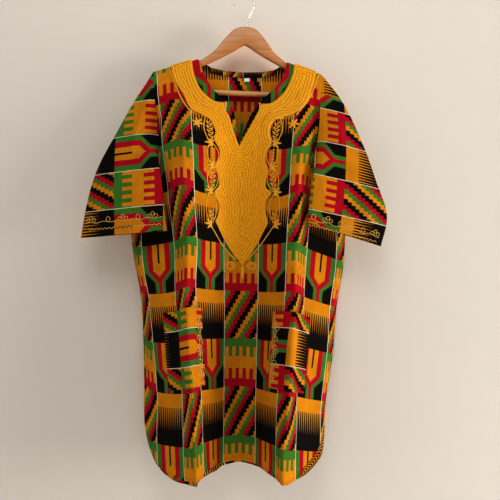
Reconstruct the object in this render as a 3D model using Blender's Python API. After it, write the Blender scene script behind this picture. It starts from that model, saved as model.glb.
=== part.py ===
"""Long dashiki shirt on a wooden hanger, in metres, +Z up, front towards -Y.

The origin is the inner top of the hanger's hook, where a rail or peg carries it.
Left and right are the viewer's, seen from the front.

The cloth is drawn as it is cut. A point of the front or back panel has two cloth
measures: s, across, from the middle of the printed centre stripe, and t, down from
the shoulder fold. Fold tables give the slope of the cloth across each printed stripe,
level by level, and the slopes are summed to the place of the point, so the cloth
keeps its width. Its drop is summed down each thread, so the cloth keeps its length.
"""

import math

import bpy
import numpy as np

# ---------------------------------------------------------------- cloth sizes
WALL = 0.0015            # cloth with its turnings
SEAM_GAP = 0.0003        # between pieces that are sewn together
STRIPE = 0.0805          # width of one printed stripe
SHOULDER_Z = -0.1525     # height of the shoulder fold at the neck
SHOULDER_SLOPE = math.radians(18.5)
SHOULDER_START = 0.088   # across, where the shoulder starts to slope
ROW_TILT = 0.040         # the hanger hangs a little low on the right
FOLD_RADIUS = 0.0085     # cloth over the hanger's round top edge
CENTRE_X = -0.0041       # middle of the centre stripe at the chest
CENTRE_LEAN = 0.0100     # its drift to the left, per metre of drop
SIDE_DROP = 0.044        # how far the side stripes hang below the centre ones
BIB_GATHER = 0.03        # the neck's stitching draws the cloth in by this share

ARMHOLE_LEFT = -0.210    # across, to the armhole edge
ARMHOLE_RIGHT = 0.184
ARMHOLE_DEPTH = 0.22
SIDE_LEFT = -0.334       # across, to the side seam
SIDE_RIGHT = 0.318
FLARE_DEPTH = 0.30       # down, where the underarm flare reaches the side seam
SLIT_TOP = 0.815         # down, to the top of the side slits
HEM_DEPTH = 0.930        # down, to the hem at the middle
HEM_DIP = 0.010          # the hem is this much lower under the big folds
HEM_CORNERS = ((0.125, 2.0), (0.160, 1.7))   # width and fullness, left and right

# Slope in degrees of each stretch across the cloth, forward when positive, level by
# level. valley: the half centre stripe. flank and brow: up to the fold's crest.
# lee, strip and side: from the crest back to the side seam. crest is in stripes.
FOLD_COLUMNS = ("depth", "valley", "flank", "brow", "crest", "lee", "strip", "side")
FOLDS_LEFT = (
    (0.00, 0, 0, 0, 1.75, 0, 0, 0),
    (0.05, 0, 0, 0, 1.75, 0, -2, -6),
    (0.12, 4, 8, 2, 1.75, -26, -24, -34),
    (0.20, 6, 24, 10, 1.78, -30, -30, -40),
    (0.26, 7, 32, 20, 1.80, -38, -33, -44),
    (0.33, 8, 39, 30, 1.82, -46, -28, -50),
    (0.44, 10, 47, 45, 1.84, -55, -14, -62),
    (0.54, 18, 43, 54, 1.85, -58, -31, -62),
    (0.65, 22, 50, 52, 1.88, -63, -34, -58),
    (0.79, 26, 57, 66, 1.94, -60, -36, -48),
    (0.88, 25, 59, 74, 2.00, -53, -35, -46),
    (0.97, 24, 59, 74, 2.03, -52, -35, -46),
)
FOLDS_RIGHT = (
    (0.00, 0, 0, 0, 1.75, 0, 0, 0),
    (0.05, 0, 0, 0, 1.75, 0, -2, -6),
    (0.12, 4, 6, 2, 1.75, -14, -24, -34),
    (0.20, 6, 20, 5, 1.75, -32, -32, -40),
    (0.26, 5, 29, 10, 1.75, -45, -34, -44),
    (0.33, 4, 37, 17, 1.76, -56, -30, -50),
    (0.44, 1, 43, 8, 1.78, -64, -24, -60),
    (0.54, 8, 45, 22, 1.80, -68, -33, -64),
    (0.65, 18, 51, 46, 1.85, -64, -35, -68),
    (0.79, 24, 57, 50, 1.90, -66, -40, -76),
    (0.88, 23, 58, 72, 1.93, -52, -42, -74),
    (0.97, 23, 58, 72, 1.95, -50, -42, -74),
)
TURN = 0.011             # half width of the turn between two stretches
CREST_TURN = 0.007

# Middle of each panel, out from the hanger's plane, level by level.
STAND_OUT = (
    # depth, front, back
    (0.00, 0.000, 0.000),
    (0.06, 0.008, 0.004),
    (0.12, 0.016, 0.007),
    (0.20, 0.015, 0.010),
    (0.33, 0.012, 0.012),
    (0.97, 0.011, 0.012),
)
# How far the print hangs below its place on the shoulder threads, within the bib and
# beyond it.
SAG = (
    (0.00, 0.000, 0.000),
    (0.03, 0.006, 0.001),
    (0.06, 0.018, 0.003),
    (0.09, 0.030, 0.004),
    (0.12, 0.031, 0.004),
    (0.20, 0.028, 0.005),
    (0.31, 0.026, 0.009),
    (0.42, 0.020, 0.013),
    (0.54, 0.016, 0.013),
    (0.65, 0.013, 0.012),
    (0.97, 0.012, 0.011),
)
SAG_SPREAD = (1.2, 2.2)  # in stripes, from the one to the other
BACK_FOLLOWS = 0.85      # the back's folds nest in the front's, and are this much of them
BACK_TRAILS = 1.12       # the same where the folds turn back at the sides
SEAM_ROUND = 0.075       # the two panels part within this distance of the side seam

# Neck edges: distance from the neck's middle, and drop below the shoulder fold.
NECK_MIDDLE = -0.0015
NECK_HALF = 0.106
FRONT_NECK = (
    (0.000, 0.177),
    (0.010, 0.142),
    (0.018, 0.113),
    (0.032, 0.089),
    (0.044, 0.083),
    (0.059, 0.072),
    (0.075, 0.056),
    (0.0905, 0.036),
    (0.099, 0.0175),
    (0.1025, 0.009),
    (0.105, 0.0040),
    (0.106, 0.000),
)
BACK_NECK = (
    (0.000, 0.035),
    (0.044, 0.033),
    (0.075, 0.027),
    (0.0905, 0.018),
    (0.099, 0.0120),
    (0.1025, 0.0065),
    (0.105, 0.0020),
    (0.106, 0.000),
)

# Rows of the panels: shares of the way from the top edge, then depths, then shares
# of the way to the hem.
YOKE_DEPTH = 0.18
YOKE_SHARES = (0.0, 0.03, 0.07, 0.16, 0.36, 0.60, 0.82)
BODY_DEPTHS = (YOKE_DEPTH, ARMHOLE_DEPTH, 0.26, 0.30, 0.35, 0.41, 0.47, 0.53,
               0.58, 0.64, 0.70, 0.76)
HEM_SHARES = (0.32, 0.66, 1.0)
ARMHOLE_ROW = len(YOKE_SHARES) + 1      # row at the foot of the armhole
FLARE_END = 0.35                        # rows are level again from here down

POCKET_TOP = 0.58
POCKET_FOOT = 0.76
POCKET_LEFT = (-0.2415, -0.1075)        # across, outer and inner edge
POCKET_RIGHT = (0.2214, 0.089)
POCKET_WALL = 0.0020                    # two turnings thick

# ---------------------------------------------------------------- sleeve sizes
# Outer fold of each sleeve: reach outwards and drop, from the shoulder tip.
SLEEVE_FOLD_LEFT = (
    (0.000, 0.000),
    (0.036, 0.060),
    (0.090, 0.149),
    (0.131, 0.238),
    (0.154, 0.319),
    (0.161, 0.390),
)
SLEEVE_FOLD_RIGHT = (
    (0.000, 0.000),
    (0.037, 0.046),
    (0.092, 0.163),
    (0.121, 0.252),
    (0.145, 0.338),
    (0.131, 0.402),
)
SLEEVE_LENGTH_LEFT = 0.400       # along the inner edge, from the shoulder
SLEEVE_LENGTH_RIGHT = 0.372
SLEEVE_FORWARD = 0.026           # the cuff's inner corner lies this far before the body
SLEEVE_FOLD_Y = -0.033           # depth of the outer fold at the cuff
SLEEVE_SWELL = 0.013             # each layer swells this much from flat
SLEEVE_RINGS = 9
UNDERARM_STEP = np.array((0.004, -0.002, 0.006))   # the sleeve's foot from the body's
FOOT_APART = 0.0040              # between the two panels at the foot of the armhole

# ---------------------------------------------------------------- trims
FACING_WIDTH = 0.012
FACING_WALL = 0.0010
FACING_REACH = 0.0751            # from the neck's middle
TAG_PLACE = 0.009
TAG_WIDTH = 0.016
TAG_HEIGHT = 0.011
TAG_WALL = 0.0010

# ---------------------------------------------------------------- hanger sizes
# The hanger is drawn level, from its middle, then set to its tilt.
HEAD_X = 0.0059                  # the middle of the head from the hook's plumb line
WOOD = 0.012                     # thickness of the arms, front to back
WOOD_CLEAR = 0.0021              # from the top of the cloth to the wood under it
CORNER_CLEAR = 0.0046            # the same by the corners of the neck
# Distance from the middle, height of the upper edge, height of the lower edge.
HEAD_OUTLINE = (
    (0.000, -0.0785, -0.1220),
    (0.013, -0.0800, -0.1290),
    (0.025, -0.0845, -0.1370),
    (0.040, -0.0988, -0.1455),
    (0.053, -0.1146, -0.1530),
    (0.068, -0.1346, -0.1608),
    (0.086, -0.1500, -0.1698),
)
# Beyond it the upper edge follows the shoulder of the cloth.
ARM_UNDERSIDE = (
    # distance, lower edge, clearance
    (0.105, -0.1785, CORNER_CLEAR),
    (0.130, -0.1900, WOOD_CLEAR),
)
EAR_WIDTH = 0.0185               # the ends reach down and hold the bar
EAR_STEP = 0.0012
EAR_FOOT = -0.2480
TIP_LEFT = 0.2030                # from the middle to each tip
TIP_RIGHT = 0.1720
BAR_RADIUS = 0.0062
BAR_Z = -0.2350
BAR_GAP = 0.0004
WIRE_RADIUS = 0.0018
HOOK_RADIUS = 0.0240             # centre line of the bend
STEM = (
    # x, z of the wire's centre line, from the wood to the bend
    (0.0071, -0.0785),
    (0.0075, -0.0680),
    (0.0090, -0.0590),
    (0.0132, -0.0500),
    (0.0180, -0.0420),
)
HOOK_FROM = -33.0                # degrees round the bend
HOOK_TO = 196.0
HOOK_STEPS = 20

PRINT_COLOR = (0.80, 0.42, 0.04, 1.0)
POCKET_COLOR = (0.62, 0.24, 0.04, 1.0)
FACING_COLOR = (0.72, 0.30, 0.04, 1.0)
TAG_COLOR = (0.86, 0.85, 0.80, 1.0)
WOOD_COLOR = (0.46, 0.20, 0.06, 1.0)
CHROME_COLOR = (0.74, 0.75, 0.77, 1.0)


def clear_scene():
    for thing in list(bpy.data.objects):
        bpy.data.objects.remove(thing, do_unlink=True)


def material(name, color, roughness=0.85, metallic=0.0):
    finish = bpy.data.materials.new(name)
    finish.use_nodes = True
    shader = finish.node_tree.nodes["Principled BSDF"]
    shader.inputs["Base Color"].default_value = color
    shader.inputs["Roughness"].default_value = roughness
    shader.inputs["Metallic"].default_value = metallic
    return finish


def add_object(name, points, faces, finish, smooth=True):
    mesh = bpy.data.meshes.new(name)
    mesh.from_pydata([tuple(map(float, p)) for p in points], [], faces)
    mesh.validate()
    mesh.materials.append(finish)
    if smooth:
        mesh.shade_smooth()
        mesh.set_sharp_from_angle(angle=math.radians(50.0))
    thing = bpy.data.objects.new(name, mesh)
    bpy.context.collection.objects.link(thing)
    return thing


def smooth_step(value):
    value = np.clip(value, 0.0, 1.0)
    return value * value * (3.0 - 2.0 * value)


def curve_through(knots, values, at):
    """Smooth curve through a table: cubic between two rows, with the slope at each
    row taken from its neighbours."""
    knots = np.asarray(knots, float)
    values = np.asarray(values, float)
    slope = np.gradient(values, knots)
    at = np.clip(at, knots[0], knots[-1])
    low = np.clip(np.searchsorted(knots, at, side="right") - 1, 0, len(knots) - 2)
    width = knots[low + 1] - knots[low]
    u = (at - knots[low]) / width
    return ((1 + 2 * u) * (1 - u) ** 2 * values[low] + u * (1 - u) ** 2 * width * slope[low]
            + u * u * (3 - 2 * u) * values[low + 1] + u * u * (u - 1) * width * slope[low + 1])


class Drape:
    """Where each point of the cloth hangs, on a fine grid of cloth measures."""

    def __init__(self):
        self.s = np.arange(SIDE_LEFT, SIDE_RIGHT + 0.001, 0.002)
        self.t = np.concatenate((np.arange(0.0, 0.02, 0.0005), np.arange(0.02, 0.972, 0.002)))
        across, rise = self.sections()
        self.front = self.panel(across, -rise, self.stand_out(1), -1.0)
        self.front[..., 2] -= self.sag()
        follow = np.where(rise > 0.0, BACK_FOLLOWS, BACK_TRAILS)
        self.back = self.panel(across, -follow * rise, self.stand_out(2), 1.0)

    def sections(self):
        """Width from the middle and rise towards the viewer, summed from the slopes."""
        across = np.zeros((len(self.t), len(self.s)))
        rise = np.zeros_like(across)
        for sign, table in ((-1.0, FOLDS_LEFT), (1.0, FOLDS_RIGHT)):
            rows = np.array(table, float)
            level = {name: curve_through(rows[:, 0], rows[:, k], self.t)[:, None]
                     for k, name in enumerate(FOLD_COLUMNS)}
            reach = np.arange(0.0, 0.3365, 0.0005)[None, :]
            angle = level["valley"] + 0.0 * reach
            turns = (("valley", "flank", 0.5 * STRIPE, TURN),
                     ("flank", "brow", 1.5 * STRIPE, TURN),
                     ("brow", "lee", level["crest"] * STRIPE, CREST_TURN),
                     ("lee", "strip", 2.5 * STRIPE, TURN),
                     ("strip", "side", 3.6 * STRIPE, TURN))
            for before, after, place, turn in turns:
                share = smooth_step((reach - place + turn) / (2.0 * turn))
                angle = angle + (level[after] - level[before]) * share
            angle = np.radians(angle)
            step = reach[0, 1]
            width = np.cumsum(np.cos(angle), axis=1) * step - np.cos(angle) * step
            height = np.cumsum(np.sin(angle), axis=1) * step - np.sin(angle) * step
            side = self.s * sign >= 0.0
            for row in range(len(self.t)):
                at = np.abs(self.s[side])
                across[row, side] = sign * np.interp(at, reach[0], width[row])
                rise[row, side] = np.interp(at, reach[0], height[row])
        return across, rise

    def stand_out(self, column):
        rows = np.array(STAND_OUT)
        return curve_through(rows[:, 0], rows[:, column], self.t)

    def drop(self):
        """The shoulders' slope, which the rows of the print keep in part."""
        reach = np.abs(self.s)[None, :]
        slope = math.tan(SHOULDER_SLOPE) * np.maximum(reach - SHOULDER_START, 0.0)
        hung = SIDE_DROP * np.clip((reach - 1.2 * STRIPE) / (2.3 * STRIPE), 0.0, 1.2) ** 2
        fade = 1.0 - smooth_step(self.t[:, None] / 0.36)
        return hung + (slope - hung) * fade

    def sag(self):
        rows = np.array(SAG)
        within = curve_through(rows[:, 0], rows[:, 1], self.t)[:, None]
        beyond = curve_through(rows[:, 0], rows[:, 2], self.t)[:, None]
        near, far = SAG_SPREAD
        share = smooth_step((np.abs(self.s)[None, :] / STRIPE - near) / (far - near))
        return within + (beyond - within) * share

    def panel(self, across, rise, stand_out, facing):
        """Places of one panel: each thread keeps its length as it hangs."""
        turned = np.minimum(self.t / FOLD_RADIUS, 0.5 * math.pi)
        roll = FOLD_RADIUS * np.sin(turned)
        gather = 1.0 - smooth_step((self.t[:, None] - 0.20) / 0.16)
        gather = BIB_GATHER * gather * smooth_step(self.t[:, None] / 0.08)
        drawn = np.clip(self.s, -1.8 * STRIPE, 1.8 * STRIPE)[None, :]
        x = CENTRE_X - CENTRE_LEAN * (self.t[:, None] - 0.12) + across - gather * drawn
        beside = smooth_step((np.abs(self.s)[None, :] / STRIPE - 2.0) / 1.6)
        y = rise + facing * (roll[:, None] + stand_out[:, None] * (1.0 - 0.5 * beside))
        dt = np.diff(self.t)[:, None]
        run = (np.diff(x, axis=0) ** 2 + np.diff(y, axis=0) ** 2) / dt ** 2
        fall = np.cumsum(np.sqrt(np.clip(1.0 - run, 0.02, 1.0)) * dt, axis=0)
        fall = np.vstack((np.zeros((1, len(self.s))), fall))
        z = SHOULDER_Z - self.drop() - fall - ROW_TILT * (x - CENTRE_X)
        return np.stack((x, y, z), axis=-1)

    def look_up(self, field, s, t):
        """Place at (s, t), between the four nearest grid points."""
        i = np.clip(np.searchsorted(self.t, t, side="right") - 1, 0, len(self.t) - 2)
        j = np.clip(np.searchsorted(self.s, s, side="right") - 1, 0, len(self.s) - 2)
        u = (t - self.t[i]) / (self.t[i + 1] - self.t[i])
        v = (s - self.s[j]) / (self.s[j + 1] - self.s[j])
        return ((1 - u) * (1 - v) * field[i, j] + (1 - u) * v * field[i, j + 1]
                + u * (1 - v) * field[i + 1, j] + u * v * field[i + 1, j + 1])

    def on_front(self, s, t):
        return self.look_up(self.front, s, t)

    def on_back(self, s, t):
        """The back panel, drawn in to the front along the side seam."""
        plain = self.look_up(self.back, s, t)
        near = np.clip(1.0 - seam_distance(s, t) / SEAM_ROUND, 0.0, 1.0)
        share = near ** 1.5
        return (1.0 - share) * plain + share * self.on_front(s, t)


def armhole_and_side(s):
    if s < 0.0:
        return ARMHOLE_LEFT, SIDE_LEFT
    return ARMHOLE_RIGHT, SIDE_RIGHT


def flare(s):
    """Depth of the underarm flare, a quarter ellipse from the armhole to the side."""
    armhole, side = armhole_and_side(s)
    share = np.clip((side - s) / (side - armhole), 0.0, 1.0)
    return ARMHOLE_DEPTH + (FLARE_DEPTH - ARMHOLE_DEPTH) * math.sqrt(1.0 - share * share)


def is_flank(s):
    """True beyond the armhole, where the panel starts at the underarm flare."""
    armhole, _ = armhole_and_side(s)
    return abs(s) > abs(armhole) + 1e-6


def seam_distance(s, t):
    """Distance from the sewn edge of the two panels, which ends at the slit."""
    armhole, side = armhole_and_side(s)
    past_slit = max(t - SLIT_TOP, 0.0)
    to_side = math.hypot(abs(side - s), past_slit)
    if is_flank(s):
        return min(to_side, max(t - flare(s), 0.0))
    return min(to_side, math.hypot(abs(s) - abs(armhole), t - ARMHOLE_DEPTH))


def hem(s):
    """Depth of the hem: a slight arch, with rounded corners up to the slits."""
    _, side = armhole_and_side(s)
    base = HEM_DEPTH + HEM_DIP * smooth_step(abs(s) / (1.9 * STRIPE))
    width, fullness = HEM_CORNERS[0] if s < 0.0 else HEM_CORNERS[1]
    into = max(width - abs(side - s), 0.0) / width
    rise = base - SLIT_TOP
    return base - rise * (1.0 - max(1.0 - into ** fullness, 0.0) ** (1.0 / fullness))


def neck(s, table):
    rows = np.array(table)
    return float(np.interp(abs(s - NECK_MIDDLE), rows[:, 0], rows[:, 1]))


def column_places(depth):
    """Places across of the panels' columns at a depth, from left to right."""
    left = np.array(FOLDS_LEFT, float)
    right = np.array(FOLDS_RIGHT, float)
    crest_left = -STRIPE * curve_through(left[:, 0], left[:, 4], depth)
    crest_right = STRIPE * curve_through(right[:, 0], right[:, 4], depth)
    reaches = [row[0] for row in FRONT_NECK]
    necks = [NECK_MIDDLE - reach for reach in reversed(reaches)]
    necks += [NECK_MIDDLE + reach for reach in reaches[1:]]
    outer_left = [SIDE_LEFT, -3.85 * STRIPE, -3.6 * STRIPE, POCKET_LEFT[0],
                  ARMHOLE_LEFT, -2.30 * STRIPE, float(crest_left), -1.5 * STRIPE]
    outer_right = [1.5 * STRIPE, float(crest_right), 0.5 * (crest_right + ARMHOLE_RIGHT),
                   ARMHOLE_RIGHT, POCKET_RIGHT[0], 3.15 * STRIPE, 3.6 * STRIPE, SIDE_RIGHT]
    return outer_left + necks + outer_right


def row_depth(row, s, top):
    """Depth of a row of the panels at s: top edge, level rows, then the hem."""
    if row < len(YOKE_SHARES):
        return top + (YOKE_DEPTH - top) * YOKE_SHARES[row]
    level = row - len(YOKE_SHARES)
    if level < len(BODY_DEPTHS):
        depth = BODY_DEPTHS[level]
        if is_flank(s) and depth < FLARE_END:
            share = (depth - ARMHOLE_DEPTH) / (FLARE_END - ARMHOLE_DEPTH)
            depth = flare(s) + (FLARE_END - flare(s)) * share
        return depth
    share = HEM_SHARES[level - len(BODY_DEPTHS)]
    return BODY_DEPTHS[-1] + (hem(s) - BODY_DEPTHS[-1]) * share


ROWS = len(YOKE_SHARES) + len(BODY_DEPTHS) + len(HEM_SHARES)


class Shirt:
    """All sewn pieces as one sheet of faces that share their seam points, so that two
    pieces meet at a seam with one mitre. Each piece is then given its wall."""

    def __init__(self, drape):
        self.drape = drape
        self.points = []
        self.faces = {}
        self.feet = [k for k, s in enumerate(column_places(0.0))
                     if s in (ARMHOLE_LEFT, ARMHOLE_RIGHT)]
        self.front = self.panel_points(drape.on_front, FRONT_NECK, None)
        self.back = self.panel_points(drape.on_back, BACK_NECK, self.front)
        self.faces["front"] = self.panel_faces(self.front, False)
        self.faces["back"] = self.panel_faces(self.back, True)

    def add(self, place):
        self.points.append(np.asarray(place, float))
        return len(self.points) - 1

    def shared(self, row, s, depth):
        """True where the back's point is the front's: fold, flare and side seam."""
        _, side = armhole_and_side(s)
        if is_flank(s) and row == ARMHOLE_ROW:
            return True
        if abs(s - side) < 1e-6:
            return depth <= SLIT_TOP + 1e-6
        return row == 0 and abs(s - NECK_MIDDLE) > NECK_HALF - 1e-6

    def panel_points(self, place, neck_table, front):
        grid = {}
        for row in range(ROWS):
            rough = row_depth(row, 0.0, 0.0)
            for column, s in enumerate(column_places(rough)):
                if is_flank(s) and row < ARMHOLE_ROW:
                    continue
                depth = row_depth(row, s, neck(s, neck_table))
                if front is not None and self.shared(row, s, depth):
                    grid[row, column] = front[row, column]
                    continue
                point = place(s, depth)
                if front is not None and row == ARMHOLE_ROW and column in self.feet:
                    point = point + (0.0, FOOT_APART, 0.0)
                grid[row, column] = self.add(point)
        return grid

    def panel_faces(self, grid, turned):
        """Four-sided faces. The first corner starts the diagonal, which runs from the
        outer and upper corner on both panels."""
        faces = []
        middle = len(column_places(0.0)) // 2
        for (row, column), corner in grid.items():
            around = [grid.get(key) for key in ((row + 1, column), (row + 1, column + 1),
                                                (row, column + 1))]
            if None in around:
                continue
            quad = [corner] + around
            if column >= middle:
                quad = quad[1:] + quad[:1]
            if row == ARMHOLE_ROW and column in (0, 2 * middle - 1):
                quad.remove(grid[row, 0 if column == 0 else 2 * middle])
            faces.append(quad[:1] + quad[:0:-1] if turned else quad)
        return faces

    def sleeve(self, name, armhole, fold_table, length):
        """A tube from the armhole's ring to the cuff's ring. Each layer is the surface
        blended between its four edges, and swells a little."""
        sign = math.copysign(1.0, armhole)
        column = [k for k, s in enumerate(column_places(0.0)) if abs(s - armhole) < 1e-6][0]
        foot = self.points[self.front[ARMHOLE_ROW, column]] + UNDERARM_STEP * (sign, 1.0, 1.0)
        underarm = [self.add(foot)]
        front_edge = underarm + [self.front[row, column] for row in range(ARMHOLE_ROW - 1, -1, -1)]
        back_edge = underarm + [self.back[row, column] for row in range(ARMHOLE_ROW - 1, -1, -1)]
        tip = self.points[front_edge[-1]]

        share = np.linspace(0.0, 1.0, SLEEVE_RINGS)
        depths = ARMHOLE_DEPTH + (length - ARMHOLE_DEPTH) * share
        inner = np.array([self.drape.on_front(armhole, depth) for depth in depths])
        inner[:, 0] += sign * UNDERARM_STEP[0] * (1.0 - smooth_step(share / 0.5))
        inner[:, 1] -= SLEEVE_FORWARD * np.sin(0.5 * math.pi * np.minimum(share / 0.3, 1.0))
        inner[0] = foot
        table = np.array(fold_table)
        run = np.concatenate(([0.0], np.cumsum(np.hypot(*np.diff(table, axis=0).T))))
        along = share * run[-1]
        outer = np.empty_like(inner)
        outer[:, 0] = tip[0] + sign * curve_through(run, table[:, 0], along)
        outer[:, 1] = tip[1] + (SLEEVE_FOLD_Y - tip[1]) * smooth_step(share * 1.2)
        outer[:, 2] = tip[2] - curve_through(run, table[:, 1], along)

        rings = []
        fronts = self.layer(front_edge, inner, outer, share, -SLEEVE_SWELL)
        backs = self.layer(back_edge, inner, outer, share, SLEEVE_SWELL)
        count = len(front_edge)
        for ring in range(SLEEVE_RINGS):
            if ring == 0:
                rings.append(front_edge + back_edge[-2:0:-1])
                continue
            front = [self.add(fronts[ring][k]) for k in range(count)]
            back = [self.add(backs[ring][k]) for k in range(count - 2, 0, -1)]
            rings.append(front + back)
        faces = []
        size = len(rings[0])
        for before, after in zip(rings, rings[1:]):
            for k in range(size):
                quad = [before[k], before[(k + 1) % size], after[(k + 1) % size], after[k]]
                if 2 * k >= size:
                    quad = quad[1:] + quad[:1]
                faces.append(quad if sign < 0 else quad[:1] + quad[:0:-1])
        self.faces[name] = faces

    def layer(self, edge, inner, outer, share, swell):
        """Points between the armhole edge, the cuff and the two long folds."""
        armhole = np.array([self.points[index] for index in edge])
        up = (armhole[:, 2] - armhole[0, 2]) / (armhole[-1, 2] - armhole[0, 2])
        cuff_share = 0.35 * up + 0.65 * np.linspace(0.0, 1.0, len(edge))
        rows = []
        for ring, along in enumerate(share):
            k = (1 - along) * up + along * cuff_share
            start = (1 - up)[:, None] * armhole[0] + up[:, None] * armhole[-1]
            place = (1 - k)[:, None] * inner[ring] + k[:, None] * outer[ring]
            place = place + (1 - smooth_step(along / 0.2)) * (armhole - start)
            round_off = np.sqrt(np.clip(np.sin(math.pi * k), 0.0, 1.0))
            place[:, 1] += swell * round_off * smooth_step(along * 2.5)
            rows.append(place)
        return rows

    def normals(self):
        """Outward direction of each point, and how much its mitre lengthens the wall.
        Where sheets are folded flat, away from the faces' middles may lie truer."""
        points = np.array(self.points)
        total = np.zeros_like(points)
        apart = np.zeros_like(points)
        flat = []
        for faces in self.faces.values():
            for face in faces:
                corner = points[face]
                normal = np.cross(corner[2] - corner[0], corner[-1] - corner[1])
                flat.append((face, normal / (np.linalg.norm(normal) + 1e-12)))
                total[face] += flat[-1][1]
                apart[face] += corner - corner.mean(axis=0)
        total /= np.linalg.norm(total, axis=1)[:, None] + 1e-12
        apart /= np.linalg.norm(apart, axis=1)[:, None] + 1e-12
        tight = np.ones(len(points))
        tight_apart = np.ones(len(points))
        for face, normal in flat:
            tight[face] = np.minimum(tight[face], total[face] @ normal)
            tight_apart[face] = np.minimum(tight_apart[face], apart[face] @ normal)
        better = (tight < 0.45) & (tight_apart > tight)
        total[better] = apart[better]
        tight[better] = tight_apart[better]
        return total, 1.0 / np.clip(tight, 0.45, 1.0)

    def seam_points(self):
        """Points that two or more pieces share."""
        owners = {}
        for name, faces in self.faces.items():
            for face in faces:
                for index in face:
                    owners.setdefault(index, set()).add(name)
        return {index for index, names in owners.items() if len(names) > 1}

    def build(self, finish):
        """Part the pieces along their seams, across the mitre, and give them walls."""
        normals, mitre = self.normals()
        seams = self.seam_points()
        points = np.array(self.points)
        towards = {}
        for name, faces in self.faces.items():
            lean = np.zeros_like(points)
            for face in faces:
                lean[face] += points[face].mean(axis=0) - points[face]
            towards[name] = lean / (np.linalg.norm(lean, axis=1)[:, None] + 1e-12)
        shared = sum(towards.values())
        owners = sum((np.linalg.norm(lean, axis=1) > 0.5) for lean in towards.values())
        for name, faces in self.faces.items():
            away = towards[name] - shared / np.maximum(owners, 1)[:, None]
            away -= (away * normals).sum(axis=1)[:, None] * normals
            away /= np.linalg.norm(away, axis=1)[:, None] + 1e-12
            moved = points.copy()
            for index in seams:
                moved[index] += 0.75 * SEAM_GAP * away[index]
            add_wall(name, moved, faces, normals * mitre[:, None], WALL, finish)


def add_wall(name, points, faces, outward, wall, finish):
    """One closed solid: the sheet, its inner face, and a rim along its open edges."""
    used = sorted({index for face in faces for index in face})
    place = {index: k for k, index in enumerate(used)}
    count = len(used)
    outer = [points[index] for index in used]
    inner = [points[index] - wall * outward[index] for index in used]
    solid = []
    edges = {}
    for face in faces:
        ring = [place[index] for index in face]
        for b, c in zip(ring[1:-1], ring[2:]):
            solid += [(ring[0], b, c), (ring[0] + count, c + count, b + count)]
        for edge in zip(ring, ring[1:] + ring[:1]):
            edges[edge] = True
    for start, end in edges:
        if (end, start) in edges:
            continue
        if start < end:
            solid += [(end, start, end + count), (start, start + count, end + count)]
        else:
            solid += [(end, start, start + count), (end, start + count, end + count)]
    return add_object(name, outer + inner, solid, finish)


def add_pocket(name, shirt, across, finish):
    """Patch pocket on the front's own points, moved out by the gap and its wall."""
    places = column_places(POCKET_TOP)
    columns = [k for k, s in enumerate(places)
               if min(across) - 1e-6 <= s <= max(across) + 1e-6]
    rows = [row for row in range(ROWS)
            if POCKET_TOP - 1e-6 <= row_depth(row, 0.0, 0.0) <= POCKET_FOOT + 1e-6]
    patch = {shirt.front[row, column] for row in rows for column in columns}
    faces = [face for face in shirt.faces["front"] if patch.issuperset(face)]
    normals, mitre = shirt.normals()
    outward = normals * mitre[:, None]
    lifted = np.array(shirt.points) + (SEAM_GAP + POCKET_WALL) * outward
    add_wall(name, lifted, faces, outward, POCKET_WALL, finish)


def add_neck_facing(drape, finish):
    """Strip inside the back neck, on the back panel's inner face."""
    places = [s for s in column_places(0.0) if abs(s - NECK_MIDDLE) < FACING_REACH]
    points = []
    faces = []
    rows = 2
    for row in range(rows + 1):
        for s in places:
            depth = neck(s, BACK_NECK) + 0.0022 + FACING_WIDTH * row / rows
            points.append(drape.on_back(s, depth))
    width = len(places)
    for row in range(rows):
        for k in range(width - 1):
            corner = row * width + k
            faces.append([corner, corner + width, corner + width + 1, corner + 1])
    outward = np.array([(0.0, -1.0, 0.0)] * len(points))
    lifted = np.array(points) + (WALL + 2.0 * SEAM_GAP + FACING_WALL) * outward
    add_wall("neck_facing", lifted, faces, outward, FACING_WALL, finish)


def add_size_tag(drape, finish):
    """Small tag that hangs from the facing, just before the back panel."""
    depth = neck(TAG_PLACE, BACK_NECK) + 0.0022 + FACING_WIDTH
    top = drape.on_back(TAG_PLACE, depth)
    foot = drape.on_back(TAG_PLACE, depth + TAG_HEIGHT)
    rear = min(top[1], foot[1]) - WALL - 2.0 * SEAM_GAP
    half = 0.5 * TAG_WIDTH
    corners = [(x, y, z) for y in (rear - TAG_WALL, rear)
               for z in (foot[2], top[2] - SEAM_GAP)
               for x in (top[0] - half, top[0] + half)]
    faces = [(0, 1, 3, 2), (4, 6, 7, 5), (0, 4, 5, 1), (2, 3, 7, 6), (0, 2, 6, 4), (1, 5, 7, 3)]
    add_object("size_tag", corners, faces, finish, smooth=False)


# ---------------------------------------------------------------- hanger
def hanger_place(x, y, z):
    """Set a point drawn on the level hanger to the hanger's tilt."""
    return (HEAD_X + x + ROW_TILT * z, y, z - ROW_TILT * x)


def arm_top(drape, x, clear=WOOD_CLEAR):
    """Upper edge of an arm, just under the shoulder of the cloth."""
    level = -0.17
    for _ in range(3):
        place = HEAD_X + x + ROW_TILT * level
        across = place - CENTRE_X - 0.12 * CENTRE_LEAN
        level = drape.on_front(across, 0.0)[2] - clear + ROW_TILT * x
    return level


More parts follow.
